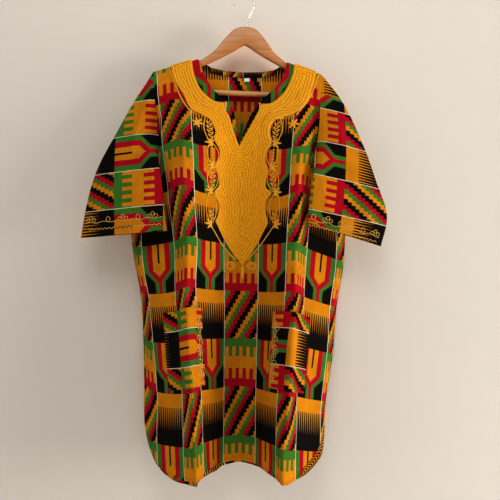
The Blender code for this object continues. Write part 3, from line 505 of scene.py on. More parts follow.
class Drape:
    """Where each point of the cloth hangs. The folds' slopes are summed across, and the
    drop is summed down each thread, so the front keeps its width and its length. The
    back shares the front's places across with folds of its own depth, so its surface is
    7 to 13 per cent narrower than its measures say."""

    def __init__(self):
        self.s = np.arange(SIDE[0], SIDE[1] + 0.001, 0.002)
        self.t = np.concatenate((np.arange(0.0, 0.02, 0.0005), np.arange(0.02, 0.972, 0.002)))
        across, rise = self.sections()
        front = self.panel(across, -rise, self.stand_out(1), -1.0)
        front[..., 2] -= self.sag()
        follow = np.where(rise > 0.0, BACK_FOLLOWS, BACK_TRAILS)
        back = self.panel(across, -follow * rise, self.stand_out(2), 1.0)
        self.fields = {"front": front, "back": back}

    def sections(self):
        """Section through the folds at each depth: the sums of the cosine and of the sine
        of the cloth's slope, outwards from the middle. From strip to strip the slope
        changes by a smooth step."""
        across = np.zeros((len(self.t), len(self.s)))
        rise = np.zeros_like(across)
        for sign, table in zip((-1.0, 1.0), FOLDS):
            rows = np.array(table, float)
            level = {name: curve_through(rows[:, 0], rows[:, k], self.t)[:, None]
                     for k, name in enumerate(FOLD_COLUMNS)}
            reach = np.arange(0.0, 0.3365, 0.0005)[None, :]
            angle = level["valley"] + 0.0 * reach
            turns = (("valley", "flank", 0.5 * STRIPE, TURN),
                     ("flank", "brow", 1.5 * STRIPE, TURN),
                     ("brow", "lee", level["crest"] * STRIPE, CREST_TURN),
                     ("lee", "strip", 2.5 * STRIPE, TURN),
                     ("strip", "side", 3.6 * STRIPE, TURN))
            for before, after, place, turn in turns:
                share = smooth_step((reach - place + turn) / (2.0 * turn))
                angle = angle + (level[after] - level[before]) * share
            angle = np.radians(angle)
            step = reach[0, 1]
            width = (np.cumsum(np.cos(angle), axis=1) - np.cos(angle)) * step
            height = (np.cumsum(np.sin(angle), axis=1) - np.sin(angle)) * step
            side = self.s * sign >= 0.0
            at = np.abs(self.s[side])
            for row in range(len(self.t)):
                across[row, side] = sign * np.interp(at, reach[0], width[row])
                rise[row, side] = np.interp(at, reach[0], height[row])
        return across, rise

    def stand_out(self, column):
        """How far a panel stands out from the middle plane at each depth."""
        rows = np.array(STAND_OUT)
        return curve_through(rows[:, 0], rows[:, column], self.t)

    def drop(self):
        """Fall of each thread's start: the straight slope of the shoulder, which fades
        with depth into (reach beyond the bib)^2."""
        reach = np.abs(self.s)[None, :]
        slope = math.tan(SHOULDER_SLOPE) * np.maximum(reach - SHOULDER_START, 0.0)
        hung = SIDE_DROP * np.clip((reach - 1.2 * STRIPE) / (2.3 * STRIPE), 0.0, 1.2) ** 2
        fade = 1.0 - smooth_step(self.t[:, None] / 0.36)
        return hung + (slope - hung) * fade

    def sag(self):
        """Extra fall of the front, within the bib and beyond it."""
        rows = np.array(SAG)
        within = curve_through(rows[:, 0], rows[:, 1], self.t)[:, None]
        beyond = curve_through(rows[:, 0], rows[:, 2], self.t)[:, None]
        near, far = SAG_SPREAD
        share = smooth_step((np.abs(self.s)[None, :] / STRIPE - near) / (far - near))
        return within + (beyond - within) * share

    def panel(self, across, rise, stand_out, facing):
        """Places of a panel: a round bend over the shoulder, then each thread falls by
        sqrt(1 - slope across^2 - slope forward^2) of its length."""
        turned = np.minimum(self.t / FOLD_RADIUS, 0.5 * math.pi)
        roll = FOLD_RADIUS * np.sin(turned)
        gather = 1.0 - smooth_step((self.t[:, None] - 0.20) / 0.16)
        gather = BIB_GATHER * gather * smooth_step(self.t[:, None] / 0.08)
        drawn = np.clip(self.s, -1.8 * STRIPE, 1.8 * STRIPE)[None, :]
        x = CENTRE_X - CENTRE_LEAN * (self.t[:, None] - 0.12) + across - gather * drawn
        beside = smooth_step((np.abs(self.s)[None, :] / STRIPE - 2.0) / 1.6)
        y = rise + facing * (roll[:, None] + stand_out[:, None] * (1.0 - 0.5 * beside))
        dt = np.diff(self.t)[:, None]
        run = (np.diff(x, axis=0) ** 2 + np.diff(y, axis=0) ** 2) / dt ** 2
        fall = np.cumsum(np.sqrt(np.clip(1.0 - run, 0.02, 1.0)) * dt, axis=0)
        fall = np.vstack((np.zeros((1, len(self.s))), fall))
        z = SHOULDER_Z - self.drop() - fall - ROW_TILT * (x - CENTRE_X)
        return np.stack((x, y, z), axis=-1)

    def look_up(self, field, s, t):
        """Place at (s, t), between the four nearest grid points."""
        i = np.clip(np.searchsorted(self.t, t, side="right") - 1, 0, len(self.t) - 2)
        j = np.clip(np.searchsorted(self.s, s, side="right") - 1, 0, len(self.s) - 2)
        u = ((t - self.t[i]) / (self.t[i + 1] - self.t[i]))[..., None]
        v = ((s - self.s[j]) / (self.s[j + 1] - self.s[j]))[..., None]
        return ((1 - u) * (1 - v) * field[i, j] + (1 - u) * v * field[i, j + 1]
                + u * (1 - v) * field[i + 1, j] + u * v * field[i + 1, j + 1])

    def seam_share(self, s, t):
        """1 on the sewn edge of the two panels, and 0 beyond SEAM_ROUND from it."""
        armhole, side = by_side(s, ARMHOLE), by_side(s, SIDE)
        flank = np.abs(s) > np.abs(armhole) + 1e-6
        to_side = np.hypot(np.abs(side - s), np.maximum(t - SLIT_TOP, 0.0))
        to_foot = np.hypot(np.abs(s) - np.abs(armhole), t - ARMHOLE_DEPTH)
        to_flare = np.maximum(t - flare(s), 0.0)
        distance = np.minimum(to_side, np.where(flank, to_flare, to_foot))
        return np.clip(1.0 - distance / SEAM_ROUND, 0.0, 1.0) ** 1.5

    def bare(self, panel, s, t):
        """Place of (s, t) without creases; the back is drawn to the front at the seams."""
        s, t = np.broadcast_arrays(np.asarray(s, float), np.asarray(t, float))
        place = self.look_up(self.fields[panel], s, t)
        if panel == "back":
            share = self.seam_share(s, t)[..., None]
            place = (1.0 - share) * place + share * self.look_up(self.fields["front"], s, t)
        return place

    def normal(self, panel, s, t):
        """Outward direction: the cross product of the cloth's two directions, taken over
        two millimetres each way."""
        step = 0.002
        t = np.maximum(t, step)
        across = self.bare(panel, s + step, t) - self.bare(panel, s - step, t)
        down = self.bare(panel, s, t + step) - self.bare(panel, s, t - step)
        out = np.cross(across, down) if panel == "back" else np.cross(down, across)
        return unit(out)

    def place(self, panel, s, t, lift=0.0):
        """Place of (s, t) with the panel's creases, lifted off the cloth."""
        s, t = np.broadcast_arrays(np.asarray(s, float), np.asarray(t, float))
        rise = creases(CREASES[panel], s, t) + lift
        return self.bare(panel, s, t) + rise[..., None] * self.normal(panel, s, t)

    def hang(self, panel, s, t, lift=0.0):
        """Place of (s, t), straight down beneath the field's end."""
        points = self.place(panel, s, np.minimum(t, FIELD_END), lift)
        points[..., 2] -= np.maximum(t - FIELD_END, 0.0)
        return points


def creases(rows, s, t):
    """Sum of soft ridges: rise x exp(-(distance across / width)^2), each faded at both
    ends along its own line."""
    total = np.zeros(np.shape(s))
    for row in rows:
        c = dict(zip(CREASE_COLUMNS, row))
        run = np.array((c["s1"] - c["s0"], c["t1"] - c["t0"]))
        length = np.hypot(*run)
        along = ((s - c["s0"]) * run[0] + (t - c["t0"]) * run[1]) / length ** 2
        aside = ((s - c["s0"]) * run[1] - (t - c["t0"]) * run[0]) / length
        fade = smooth_step(along / 0.3) * smooth_step((1.0 - along) / 0.3)
        total = total + c["rise"] * fade * np.exp(-(aside / c["width"]) ** 2)
    return total


DRAPE = Drape()


# ------------------------------------------------------------ meshes
def make_object(name, points, faces, uv=None, finish=None, smooth=True, sharp=40.0):
    """Mesh object from arrays: points (n, 3), faces as rows of corner numbers, and uv
    per point, in metres of cloth or thread."""
    mesh = bpy.data.meshes.new(name)
    points = np.ascontiguousarray(points, dtype=np.float64).reshape(-1, 3)
    mesh.from_pydata(points.tolist(), [], [tuple(face) for face in faces])
    if uv is not None:
        layer = mesh.uv_layers.new(name="cloth")
        corners = np.empty(len(mesh.loops), dtype=np.int32)
        mesh.loops.foreach_get("vertex_index", corners)
        layer.data.foreach_set("uv", np.asarray(uv, float).reshape(-1, 2)[corners].ravel())
    if smooth:
        mesh.shade_smooth()
        if sharp:
            mesh.set_sharp_from_angle(angle=math.radians(sharp))
    if finish is not None:
        mesh.materials.append(finish)
    thing = bpy.data.objects.new(name, mesh)
    bpy.context.collection.objects.link(thing)
    return thing


def grid_faces(numbers, turned=False):
    """Four-sided faces of a grid of point numbers; cells with a missing corner (-1) are
    left out."""
    quads = np.stack((numbers[:-1, :-1], numbers[1:, :-1], numbers[1:, 1:], numbers[:-1, 1:]),
                     axis=-1).reshape(-1, 4)
    quads = quads[(quads >= 0).all(axis=1)]
    return (quads[:, ::-1] if turned else quads).tolist()


def give_wall(thing, thickness):
    """Cloth of real thickness, with the wall on the inner side of the sheet."""
    wall = thing.modifiers.new("wall", "SOLIDIFY")
    wall.thickness = thickness
    wall.offset = -1.0
    wall.use_rim = True
    return thing


def cloth_grid(name, points, uv, finish, wall, turned=False):
    """Sheet of cloth through a grid of points, (rows, columns, 3)."""
    numbers = np.arange(points[..., 0].size).reshape(points.shape[:2])
    return give_wall(make_object(name, points, grid_faces(numbers, turned), uv,
                                 finish_of(finish)), wall)


def tubes(name, paths, normals, radius, finish, flat=0.75, sides=6, taper=None):
    """Threads along paths: at each point a ring, radius x cos across the path and flat x
    radius x sin along the surface's normal, closed by a cap at each end."""
    points, faces, uv = [], [], []
    first = 0
    angle = 2.0 * math.pi * np.arange(sides) / sides
    for number, (path, normal) in enumerate(zip(paths, normals)):
        path = np.asarray(path, float)
        along = unit(np.gradient(path, axis=0))
        aside = unit(np.cross(along, normal))
        out = np.cross(aside, along)
        size = np.full(len(path), radius if np.isscalar(radius) else radius[number])
        if taper is not None:
            size = size * taper(np.linspace(0.0, 1.0, len(path)))
        ring = (path[:, None, :]
                + size[:, None, None] * (np.cos(angle)[None, :, None] * aside[:, None, :]
                                         + flat * np.sin(angle)[None, :, None] * out[:, None, :]))
        count = len(path)
        points.append(ring.reshape(-1, 3))
        uv.append(np.stack(np.broadcast_arrays(run_along(path)[:, None], (angle / (2 * math.pi))),
                           axis=-1).reshape(-1, 2))
        numbers = first + np.arange(count * sides).reshape(count, sides)
        numbers = np.hstack((numbers, numbers[:, :1]))
        faces += grid_faces(numbers)
        faces.append(numbers[0, :sides].tolist())
        faces.append(numbers[-1, :sides][::-1].tolist())
        first += count * sides
    return make_object(name, np.vstack(points), faces, np.vstack(uv), finish, sharp=None)


def solid(name, shape, finish, sharp=50.0):
    """Closed piece from its points and faces, with all its faces outwards."""
    thing = make_object(name, *shape, None, finish_of(finish), sharp=sharp)
    work = bmesh.new()
    work.from_mesh(thing.data)
    bmesh.ops.recalc_face_normals(work, faces=work.faces)
    work.to_mesh(thing.data)
    work.free()
    return thing


def ready(thing, slot, *nodes):
    """A finished piece's body, and the nodes that it stands for. Its slot is not used."""
    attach(thing, "root")
    if nodes:
        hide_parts(*nodes)
    return thing


# ------------------------------------------------------------ node groups
class Graph:
    """Short names for the nodes of one tree. Each call adds a node and gives its first
    output; numbers and colours are set on the node's own sockets."""

    def __init__(self, tree):
        self.tree = tree

    def feed(self, socket, value):
        """Link from a socket, or else the value itself; None leaves the socket alone."""
        if isinstance(value, bpy.types.NodeSocket):
            self.tree.links.new(value, socket)
        elif value is not None:
            socket.default_value = value

    def add(self, kind, settings=None, **inputs):
        """Node of any kind; an input is named with _ for each space."""
        node = self.tree.nodes.new(kind)
        for name, value in (settings or {}).items():
            setattr(node, name, value)
        for name, value in inputs.items():
            self.feed(node.inputs[name.replace("_", " ")], value)
        return node

    def math(self, operation, *values):
        node = self.tree.nodes.new("ShaderNodeMath")
        node.operation = operation
        for socket, value in zip(node.inputs, values):
            self.feed(socket, value)
        return node.outputs[0]

    def plus(self, *values):
        return self.math("ADD", *values)

    def minus(self, *values):
        return self.math("SUBTRACT", *values)

    def times(self, *values):
        return self.math("MULTIPLY", *values)

    def less(self, value, edge):
        return self.math("LESS_THAN", value, edge)

    def spread(self, value, low, high, to_low=0.0, to_high=1.0):
        """value, from between low and high to between the other two, and held there."""
        return self.add("ShaderNodeMapRange", Value=value, From_Min=low, From_Max=high,
                        To_Min=to_low, To_Max=to_high).outputs[0]

    def mix(self, share, low, high):
        """Colour low where share is 0, and high where it is 1."""
        node = self.tree.nodes.new("ShaderNodeMix")
        node.data_type = "RGBA"
        self.feed(node.inputs["Factor"], share)
        # a Mix node holds one pair of sockets for each data type
        for socket, value in ((node.inputs[6], low), (node.inputs[7], high)):
            self.feed(socket, value)
        return node.outputs[2]

    def bands(self, value, color, *bands):
        """Colour by value: each band is its upper edge and its colour, highest first."""
        for edge, band in bands:
            color = self.mix(self.less(value, edge), color, band)
        return color

    def shaded(self, color, value):
        return self.add("ShaderNodeHueSaturation", Color=color, Value=value).outputs[0]

    def vector(self, x, y, z=0.0):
        return self.add("ShaderNodeCombineXYZ", X=x, Y=y, Z=z).outputs[0]

    def split(self, vector):
        return self.add("ShaderNodeSeparateXYZ", Vector=vector).outputs

    def noise(self, vector, scale, detail=2.0, name="Fac"):
        node = self.add("ShaderNodeTexNoise", Vector=vector, Scale=scale, Detail=detail)
        return node.outputs[name]

    def place(self):
        """Place within the piece, in metres."""
        return self.add("ShaderNodeTexCoord").outputs["Object"]

    def bump(self, height, strength, distance, normal=None):
        return self.add("ShaderNodeBump", Strength=strength, Distance=distance, Height=height,
                        Normal=normal).outputs[0]


def new_group(name, inputs, outputs):
    """Node group with named sockets, and its Graph."""
    group = bpy.data.node_groups.new(name, "ShaderNodeTree")
    for socket, kind, default in inputs:
        made = group.interface.new_socket(socket, in_out="INPUT", socket_type=kind)
        if default is not None:
            made.default_value = default
    for socket, kind in outputs:
        group.interface.new_socket(socket, in_out="OUTPUT", socket_type=kind)
    graph = Graph(group)
    source = group.nodes.new("NodeGroupInput")
    result = group.nodes.new("NodeGroupOutput")
    return group, graph, source.outputs, result.inputs


def print_group(colors):
    """The Kente print on cloth measures. Stripes of two kinds stand side by side, and
    each changes between two motifs from row to row:
      even stripes: three fingers up and three down from a yellow band, and diagonals of
      four colours;
      odd stripes: a comb of teeth that widen downwards, and nested U blocks.
    fx and fy are the place within the stripe and the row, from 0 to 1."""
    group, g, given, result = new_group(
        "Kente print", (("Cloth", "NodeSocketVector", None),), (("Color", "NodeSocketColor"),))
    black, yellow, red, green, white = (colors[k] for k in
                                        ("black", "yellow", "red", "green", "white"))
    wobble = g.split(g.noise(given["Cloth"], 55.0, 1.0, "Color"))
    cloth = g.split(given["Cloth"])
    across, down = (g.plus(cloth[k], g.times(g.minus(wobble[k], 0.5), PRINT_WOBBLE[k]))
                    for k in (0, 1))

    def is_odd(count):
        """1 where the whole part of count is odd."""
        return g.math("GREATER_THAN", g.math("FLOORED_MODULO", g.math("FLOOR", count), 2.0), 0.5)

    u = g.plus(g.math("DIVIDE", across, STRIPE), 0.5)
    fx = g.math("FRACT", u)
    odd_stripe = is_odd(u)
    r = g.plus(g.math("DIVIDE", g.minus(down, ROW_START), ROW), 1.0)
    fy = g.math("FRACT", r)
    odd_row = is_odd(r)

    # comb: |fract(teeth x across / stripe) - 0.5| x 2, without the wobble, against a
    # width that grows down the row until the teeth have met
    tooth = g.minus(g.math("FRACT", g.times(cloth[0], COMB["teeth"] / STRIPE)), 0.5)
    tooth = g.times(g.math("ABSOLUTE", tooth), 2.0)
    grown = g.math("POWER", g.spread(fy, *COMB["grows"]), COMB["power"])
    grown = g.plus(g.times(grown, COMB["growth"]), COMB["width"])
    comb = g.times(g.less(tooth, grown), g.math("GREATER_THAN", fy, COMB["top"]))
    comb = g.mix(comb, yellow, black)

    # U: half widths of three nested blocks, which narrow in steps down the row
    half = g.math("ABSOLUTE", g.minus(fx, 0.5))
    level = g.math("DIVIDE", g.math("FLOOR", g.times(fy, U_STEPS)), U_STEPS)
    block = black
    for name, start, wide, end, narrow in U_BLOCKS:
        edge = g.spread(level, start, end, wide, narrow)
        block = g.mix(g.less(half, edge), block, colors[name])
    stem = g.times(g.less(half, U_STEM["half"]), g.less(fy, U_STEM["foot"]))
    block = g.mix(stem, block, black)

    # letter: green, three fingers up, yellow, three fingers down, red
    finger = g.math("DIVIDE", g.minus(fx, FINGERS["start"]), FINGERS["pitch"])
    finger = g.less(g.math("FRACT", finger), 0.5)
    above = g.mix(finger, green, yellow)
    below = g.mix(finger, red, yellow)
    letter = g.bands(fy, red, *zip(LETTER_EDGES, (below, yellow, above, green)))

    # diagonals: fract((fx - start + shift x step) / period) x 4 picks one of four colours
    step = g.math("FLOOR", g.times(fy, DIAGONALS["steps"]))
    turn = g.plus(g.minus(fx, DIAGONALS["start"]), g.times(step, DIAGONALS["shift"]))
    turn = g.times(g.math("FRACT", g.math("DIVIDE", turn, DIAGONALS["period"])), 4.0)
    diagonal = g.bands(turn, red, *zip(DIAGONALS["edges"], (green, yellow, black)))

    odd = g.mix(odd_row, block, comb)
    even = g.mix(odd_row, letter, diagonal)
    color = g.mix(odd_stripe, even, odd)
    beside = g.times(g.math("MINIMUM", fx, g.minus(1.0, fx)), STRIPE)
    line = g.less(beside, LINE_HALF)
    g.feed(result["Color"], g.mix(line, color, white))
    return group


def weave_group():
    """Plain weave: the product of two waves, one along each thread, on cloth measures;
    its height, and a slow change of depth of colour."""
    group, g, given, result = new_group(
        "Plain weave", (("Cloth", "NodeSocketVector", None),
                        ("Threads per Metre", "NodeSocketFloat", 1600.0)),
        (("Height", "NodeSocketFloat"), ("Wear", "NodeSocketFloat")))
    cloth = g.split(given["Cloth"])
    waves = [g.math("SINE", g.times(g.times(part, given["Threads per Metre"]), math.pi))
             for part in cloth[:2]]
    g.feed(result["Height"], g.times(waves[0], waves[1]))
    g.feed(result["Wear"], g.noise(given["Cloth"], 24.0, 3.0))
    return group


def use_group(graph, group, **inputs):
    """Outputs of a group's node in this tree."""
    node = graph.tree.nodes.new("ShaderNodeGroup")
    node.node_tree = group
    for name, value in inputs.items():
        graph.feed(node.inputs[name.replace("_", " ")], value)
    return node.outputs


def new_material(name, **shader):
    """Material with a Principled shader; constants are set on the shader's sockets."""
    made = bpy.data.materials.new(name)
    made.use_nodes = True
    tree = made.node_tree
    node = tree.nodes["Principled BSDF"]
    for key, value in shader.items():
        node.inputs[key.replace("_", " ")].default_value = value
    return made, Graph(tree), node


def cloth_measures(graph):
    """The two cloth measures, in metres, from the mesh."""
    return graph.add("ShaderNodeUVMap", {"uv_map": "cloth"}).outputs[0]


def printed_cotton(name, groups, depth=1.0):
    """The print on a plain weave; depth makes it lighter or darker."""
    made, g, shader = new_material(name, Roughness=0.88, Specular_IOR_Level=0.10)
    cloth = cloth_measures(g)
    color = use_group(g, groups["print"], Cloth=cloth)["Color"]
    weave = use_group(g, groups["weave"], Cloth=cloth)
    shade = g.spread(weave["Wear"], 0.3, 0.7, 0.86 * depth, 1.06 * depth)
    g.feed(shader.inputs["Base Color"], g.shaded(color, shade))
    woven = g.bump(weave["Height"], 0.25, 0.0002)
    g.feed(shader.inputs["Normal"], g.bump(g.noise(cloth, 60.0, 3.0), 0.5, 0.0012, woven))
    return made


def thread_material(name, color):
    """Twisted thread: fine flecks, lighter and darker, which also stand out."""
    made, g, shader = new_material(name, Roughness=0.55, Specular_IOR_Level=0.22)
    fleck = g.noise(g.place(), 420.0)
    g.feed(shader.inputs["Base Color"], g.shaded(color, g.spread(fleck, 0.25, 0.75, 0.66, 1.12)))
    g.feed(shader.inputs["Normal"], g.bump(fleck, 0.6, 0.0004))
    return made


def stitched_material(name, color):
    """Rows of stitches, with painted shade: the thread is darker in the grooves between the
    rows, where |sin(pi d / row)| falls, with d the distance to the outline, the second measure."""
    made = thread_material(name, color)
    g = Graph(made.node_tree)
    shader = made.node_tree.nodes["Principled BSDF"]
    cloth = cloth_measures(g)
    bend = g.times(g.minus(g.noise(cloth, 190.0, 2.0), 0.5), 0.0022)
    distance = g.plus(g.split(cloth)[1], bend)
    wave = g.math("ABSOLUTE", g.math("SINE", g.times(distance,
                                                    math.pi / STITCH_ROW)))
    # painted shade: the thread darkens towards the middle of each groove between stitch rows
    groove_shade = g.spread(wave, 0.08, 0.52, 0.60, 0.0)
    base = shader.inputs["Base Color"].links[0].from_socket
    # colour of the painted shade in the grooves, a darker copy of the gold
    dark = tuple(part * share for part, share in zip(color, (0.42, 0.25, 0.10))) + (1.0,)
    g.feed(shader.inputs["Base Color"], g.mix(groove_shade, base, dark))
    return made


def wood_material(name, color, dark):
    """Grain along the hanger: noise on places drawn out fifteenfold along X."""
    made, g, shader = new_material(name, Roughness=0.34, Coat_Weight=0.35, Coat_Roughness=0.18)
    drawn = g.add("ShaderNodeMapping", Vector=g.place(), Scale=(6.0, 90.0, 90.0)).outputs[0]
    grain = g.noise(drawn, 1.6, 6.0)
    fine = g.noise(drawn, 7.0, 3.0)
    share = g.plus(g.times(grain, 0.75), g.times(fine, 0.25))
    g.feed(shader.inputs["Base Color"], g.mix(g.spread(share, 0.38, 0.66), color, dark))
    g.feed(shader.inputs["Normal"], g.bump(fine, 0.15, 0.0004))
    return made


def chrome_material():
    """Chromed steel, a little duller in places."""
    made, g, shader = new_material("Chromed wire", Metallic=1.0, Base_Color=(0.72, 0.73, 0.75, 1))
    g.feed(shader.inputs["Roughness"],
           g.spread(g.noise(g.place(), 160.0, 3.0), 0.0, 1.0, 0.10, 0.30))
    return made


def tag_material():
    """White ribbon with fine ribs across."""
    made, g, shader = new_material("Woven tag", Base_Color=(0.86, 0.85, 0.81, 1), Roughness=0.7)
    rib = g.add("ShaderNodeTexWave", {"bands_direction": "Z"}, Vector=g.place(), Scale=240.0)
    g.feed(shader.inputs["Normal"], g.bump(rib.outputs["Fac"], 0.4, 0.0002))
    return made


def one_sided(name, color, tint):
    """Plain matt surface that can't be seen from behind."""
    made, g, shader = new_material(name, Roughness=0.95, Specular_IOR_Level=0.1)
    place = g.place()
    g.feed(shader.inputs["Base Color"], g.mix(g.noise(place, 1.3), color, tint))
    g.feed(shader.inputs["Normal"], g.bump(g.noise(place, 300.0), 0.08, 0.002))
    clear = g.add("ShaderNodeBsdfTransparent").outputs[0]
    behind = g.add("ShaderNodeNewGeometry").outputs["Backfacing"]
    both = g.tree.nodes.new("ShaderNodeMixShader")
    for socket, value in zip(both.inputs, (behind, shader.outputs[0], clear)):
        g.feed(socket, value)
    g.feed(g.tree.nodes["Material Output"].inputs["Surface"], both.outputs[0])
    return made


# ------------------------------------------------------------ sizes and colours to change
COLOR = dict(subtype="COLOR", size=4, min=0.0, max=1.0)


class ClothSizes(bpy.types.PropertyGroup):
    """The printed cloth: its wall, its mesh and its colours"""
    wall: bpy.props.FloatProperty(
        name="Cloth thickness", description="Thickness of the printed cotton",
        default=0.0012, min=0.0004, max=0.003, unit="LENGTH")
    column: bpy.props.FloatProperty(
        name="Mesh column", description="Width of the panels' mesh cells",
        default=0.0036, min=0.002, max=0.02, unit="LENGTH")
    yellow: bpy.props.FloatVectorProperty(
        name="Yellow", description="Printed yellow", default=(0.665, 0.274, 0.009, 1), **COLOR)
    red: bpy.props.FloatVectorProperty(
        name="Red", description="Printed red", default=(0.46, 0.0045, 0.022, 1), **COLOR)
    green: bpy.props.FloatVectorProperty(
        name="Green", description="Printed green", default=(0.074, 0.220, 0.034, 1), **COLOR)
    black: bpy.props.FloatVectorProperty(
        name="Black", description="Printed black", default=(0.0065, 0.0046, 0.0040, 1), **COLOR)
    white: bpy.props.FloatVectorProperty(
        name="White", description="Lines between the stripes",
        default=(0.70, 0.70, 0.58, 1), **COLOR)


class ThreadSizes(bpy.types.PropertyGroup):
    """The embroidery"""
    gold: bpy.props.FloatVectorProperty(
        name="Gold", description="Embroidery thread", default=(1.0, 0.49, 0.012, 1), **COLOR)
    cord: bpy.props.FloatProperty(
        name="Cord", description="Half width of the couched cords",
        default=CORD, min=0.0004, max=0.003, unit="LENGTH")


class HangerSizes(bpy.types.PropertyGroup):
    """The hanger's wood"""
    light: bpy.props.FloatVectorProperty(
        name="Light grain", description="Wood between the grain lines",
        default=(0.62, 0.285, 0.090, 1), **COLOR)
    dark: bpy.props.FloatVectorProperty(
        name="Dark grain", description="Grain lines of the wood",
        default=(0.44, 0.170, 0.046, 1), **COLOR)


class StageSizes(bpy.types.PropertyGroup):
    """Backdrop and light"""
    wall: bpy.props.FloatVectorProperty(
        name="Wall", description="Backdrop behind the shirt",
        default=(0.85, 0.815, 0.770, 1), **COLOR)
    key: bpy.props.FloatProperty(
        name="Key light", description="Power of the key light, at the viewer's right",
        default=78.0, min=0.0, max=500.0, unit="POWER")
    fill: bpy.props.FloatProperty(
        name="Fill light", description="Strength of the room's light",
        default=0.39, min=0.0, max=5.0)


GROUPS = {}
FINISH = {}


def finish_of(name):
    """Shared groups and materials, made when first asked for."""
    scene = bpy.context.scene
    if not GROUPS:
        cloth = scene.shirt_cloth
        GROUPS["print"] = print_group({key: tuple(getattr(cloth, key)) for key in
                                       ("black", "yellow", "red", "green", "white")})
        GROUPS["weave"] = weave_group()
    if name not in FINISH:
        gold = tuple(scene.shirt_thread.gold)
        makers = {
            "print": lambda: printed_cotton("Printed cotton", GROUPS),
            "pocket": lambda: printed_cotton("Pocket cotton", GROUPS, 1.02),
            "facing": lambda: printed_cotton("Facing cotton", GROUPS),
            "gold": lambda: stitched_material("Gold thread with painted shade", gold),
            "cord": lambda: thread_material("Gold cord", (0.95, 0.50, 0.045, 1)),
            "pale": lambda: thread_material("Pale cord", (0.86, 0.56, 0.140, 1)),
            "stitch": lambda: thread_material("Sewing thread", (0.30, 0.12, 0.02, 1)),
            "wood": lambda: wood_material("Varnished wood", tuple(scene.shirt_hanger.light),
                                          tuple(scene.shirt_hanger.dark)),
            # painted light: the bar's wood is a lighter copy of the arms' wood, to make up for
            # the shade the bar hangs in
            "bar": lambda: wood_material("Bar's wood with painted light", (0.82, 0.44, 0.15, 1),
                                         (0.64, 0.29, 0.085, 1)),
            "chrome": chrome_material,
            "tag": tag_material,
        }
        FINISH[name] = makers[name]()
    return FINISH[name]


# ------------------------------------------------------------ panels
def panel_columns(step):
    """Places across: even steps, the armholes, the neck's corners, and close steps by
    the sides, where the hem turns up to the slits."""
    even = np.arange(SIDE[0], SIDE[1], step)
    corners = [row[0] for row in (*FRONT_NECK, *BACK_NECK)]
    near = np.array((0.0, 0.0003, 0.0009, 0.0018, 0.003, 0.0045, 0.006))
    extra = np.unique(np.concatenate((ARMHOLE, corners, SIDE[0] + near, SIDE[1] - near)))
    away = np.abs(even[:, None] - extra[None, :]).min(axis=1) > 0.0011
    return np.sort(np.concatenate((even[away], extra)))


def build_panel(name, step, yoke_rows=56, body_rows=176):
    """Grid of the panel in cloth measures. Down from the neck or fold to the armhole's
    depth, then, with the flanks, to the hem."""
    s = panel_columns(step)
    table = FRONT_NECK if name == "front" else BACK_NECK
    top = neck(s, table)
    foot = hem(s) + (BACK_LONGER if name == "back" else 0.0) * smooth_step(
        (np.minimum(s - SIDE[0], SIDE[1] - s)) / 0.05)
    flank = (s < ARMHOLE[0] - 1e-6) | (s > ARMHOLE[1] + 1e-6)
    start = np.where(flank, flare(s), ARMHOLE_DEPTH)
    roll = np.linspace(0.0, 1.0, yoke_rows) ** 1.35
    yoke = top + (ARMHOLE_DEPTH - top) * roll[:-1, None]
    share = np.linspace(0.0, 1.0, body_rows)
    body = start + (foot - start) * share[:, None]
    t = np.vstack((yoke, body))
    numbers = np.full(t.shape, -1)
    used = np.ones(t.shape, bool)
    used[: yoke_rows - 1, flank] = False
    numbers[used] = np.arange(used.sum())
    across = np.broadcast_to(s, t.shape)
    points = DRAPE.hang(name, across, t)
    if name == "back":          # the print runs the other way up, from the shoulder seam
        uv = np.stack((across - 0.005, ROW_START + 0.085 - t), axis=-1)
    else:
        drawn = 0.0135 * np.exp(-((across + 0.121) / 0.024) ** 2 - (t / 0.055) ** 2)
        uv = np.stack((across + drawn, t), axis=-1)
    faces = grid_faces(numbers, turned=name == "back")
    return points[used], faces, uv[used]


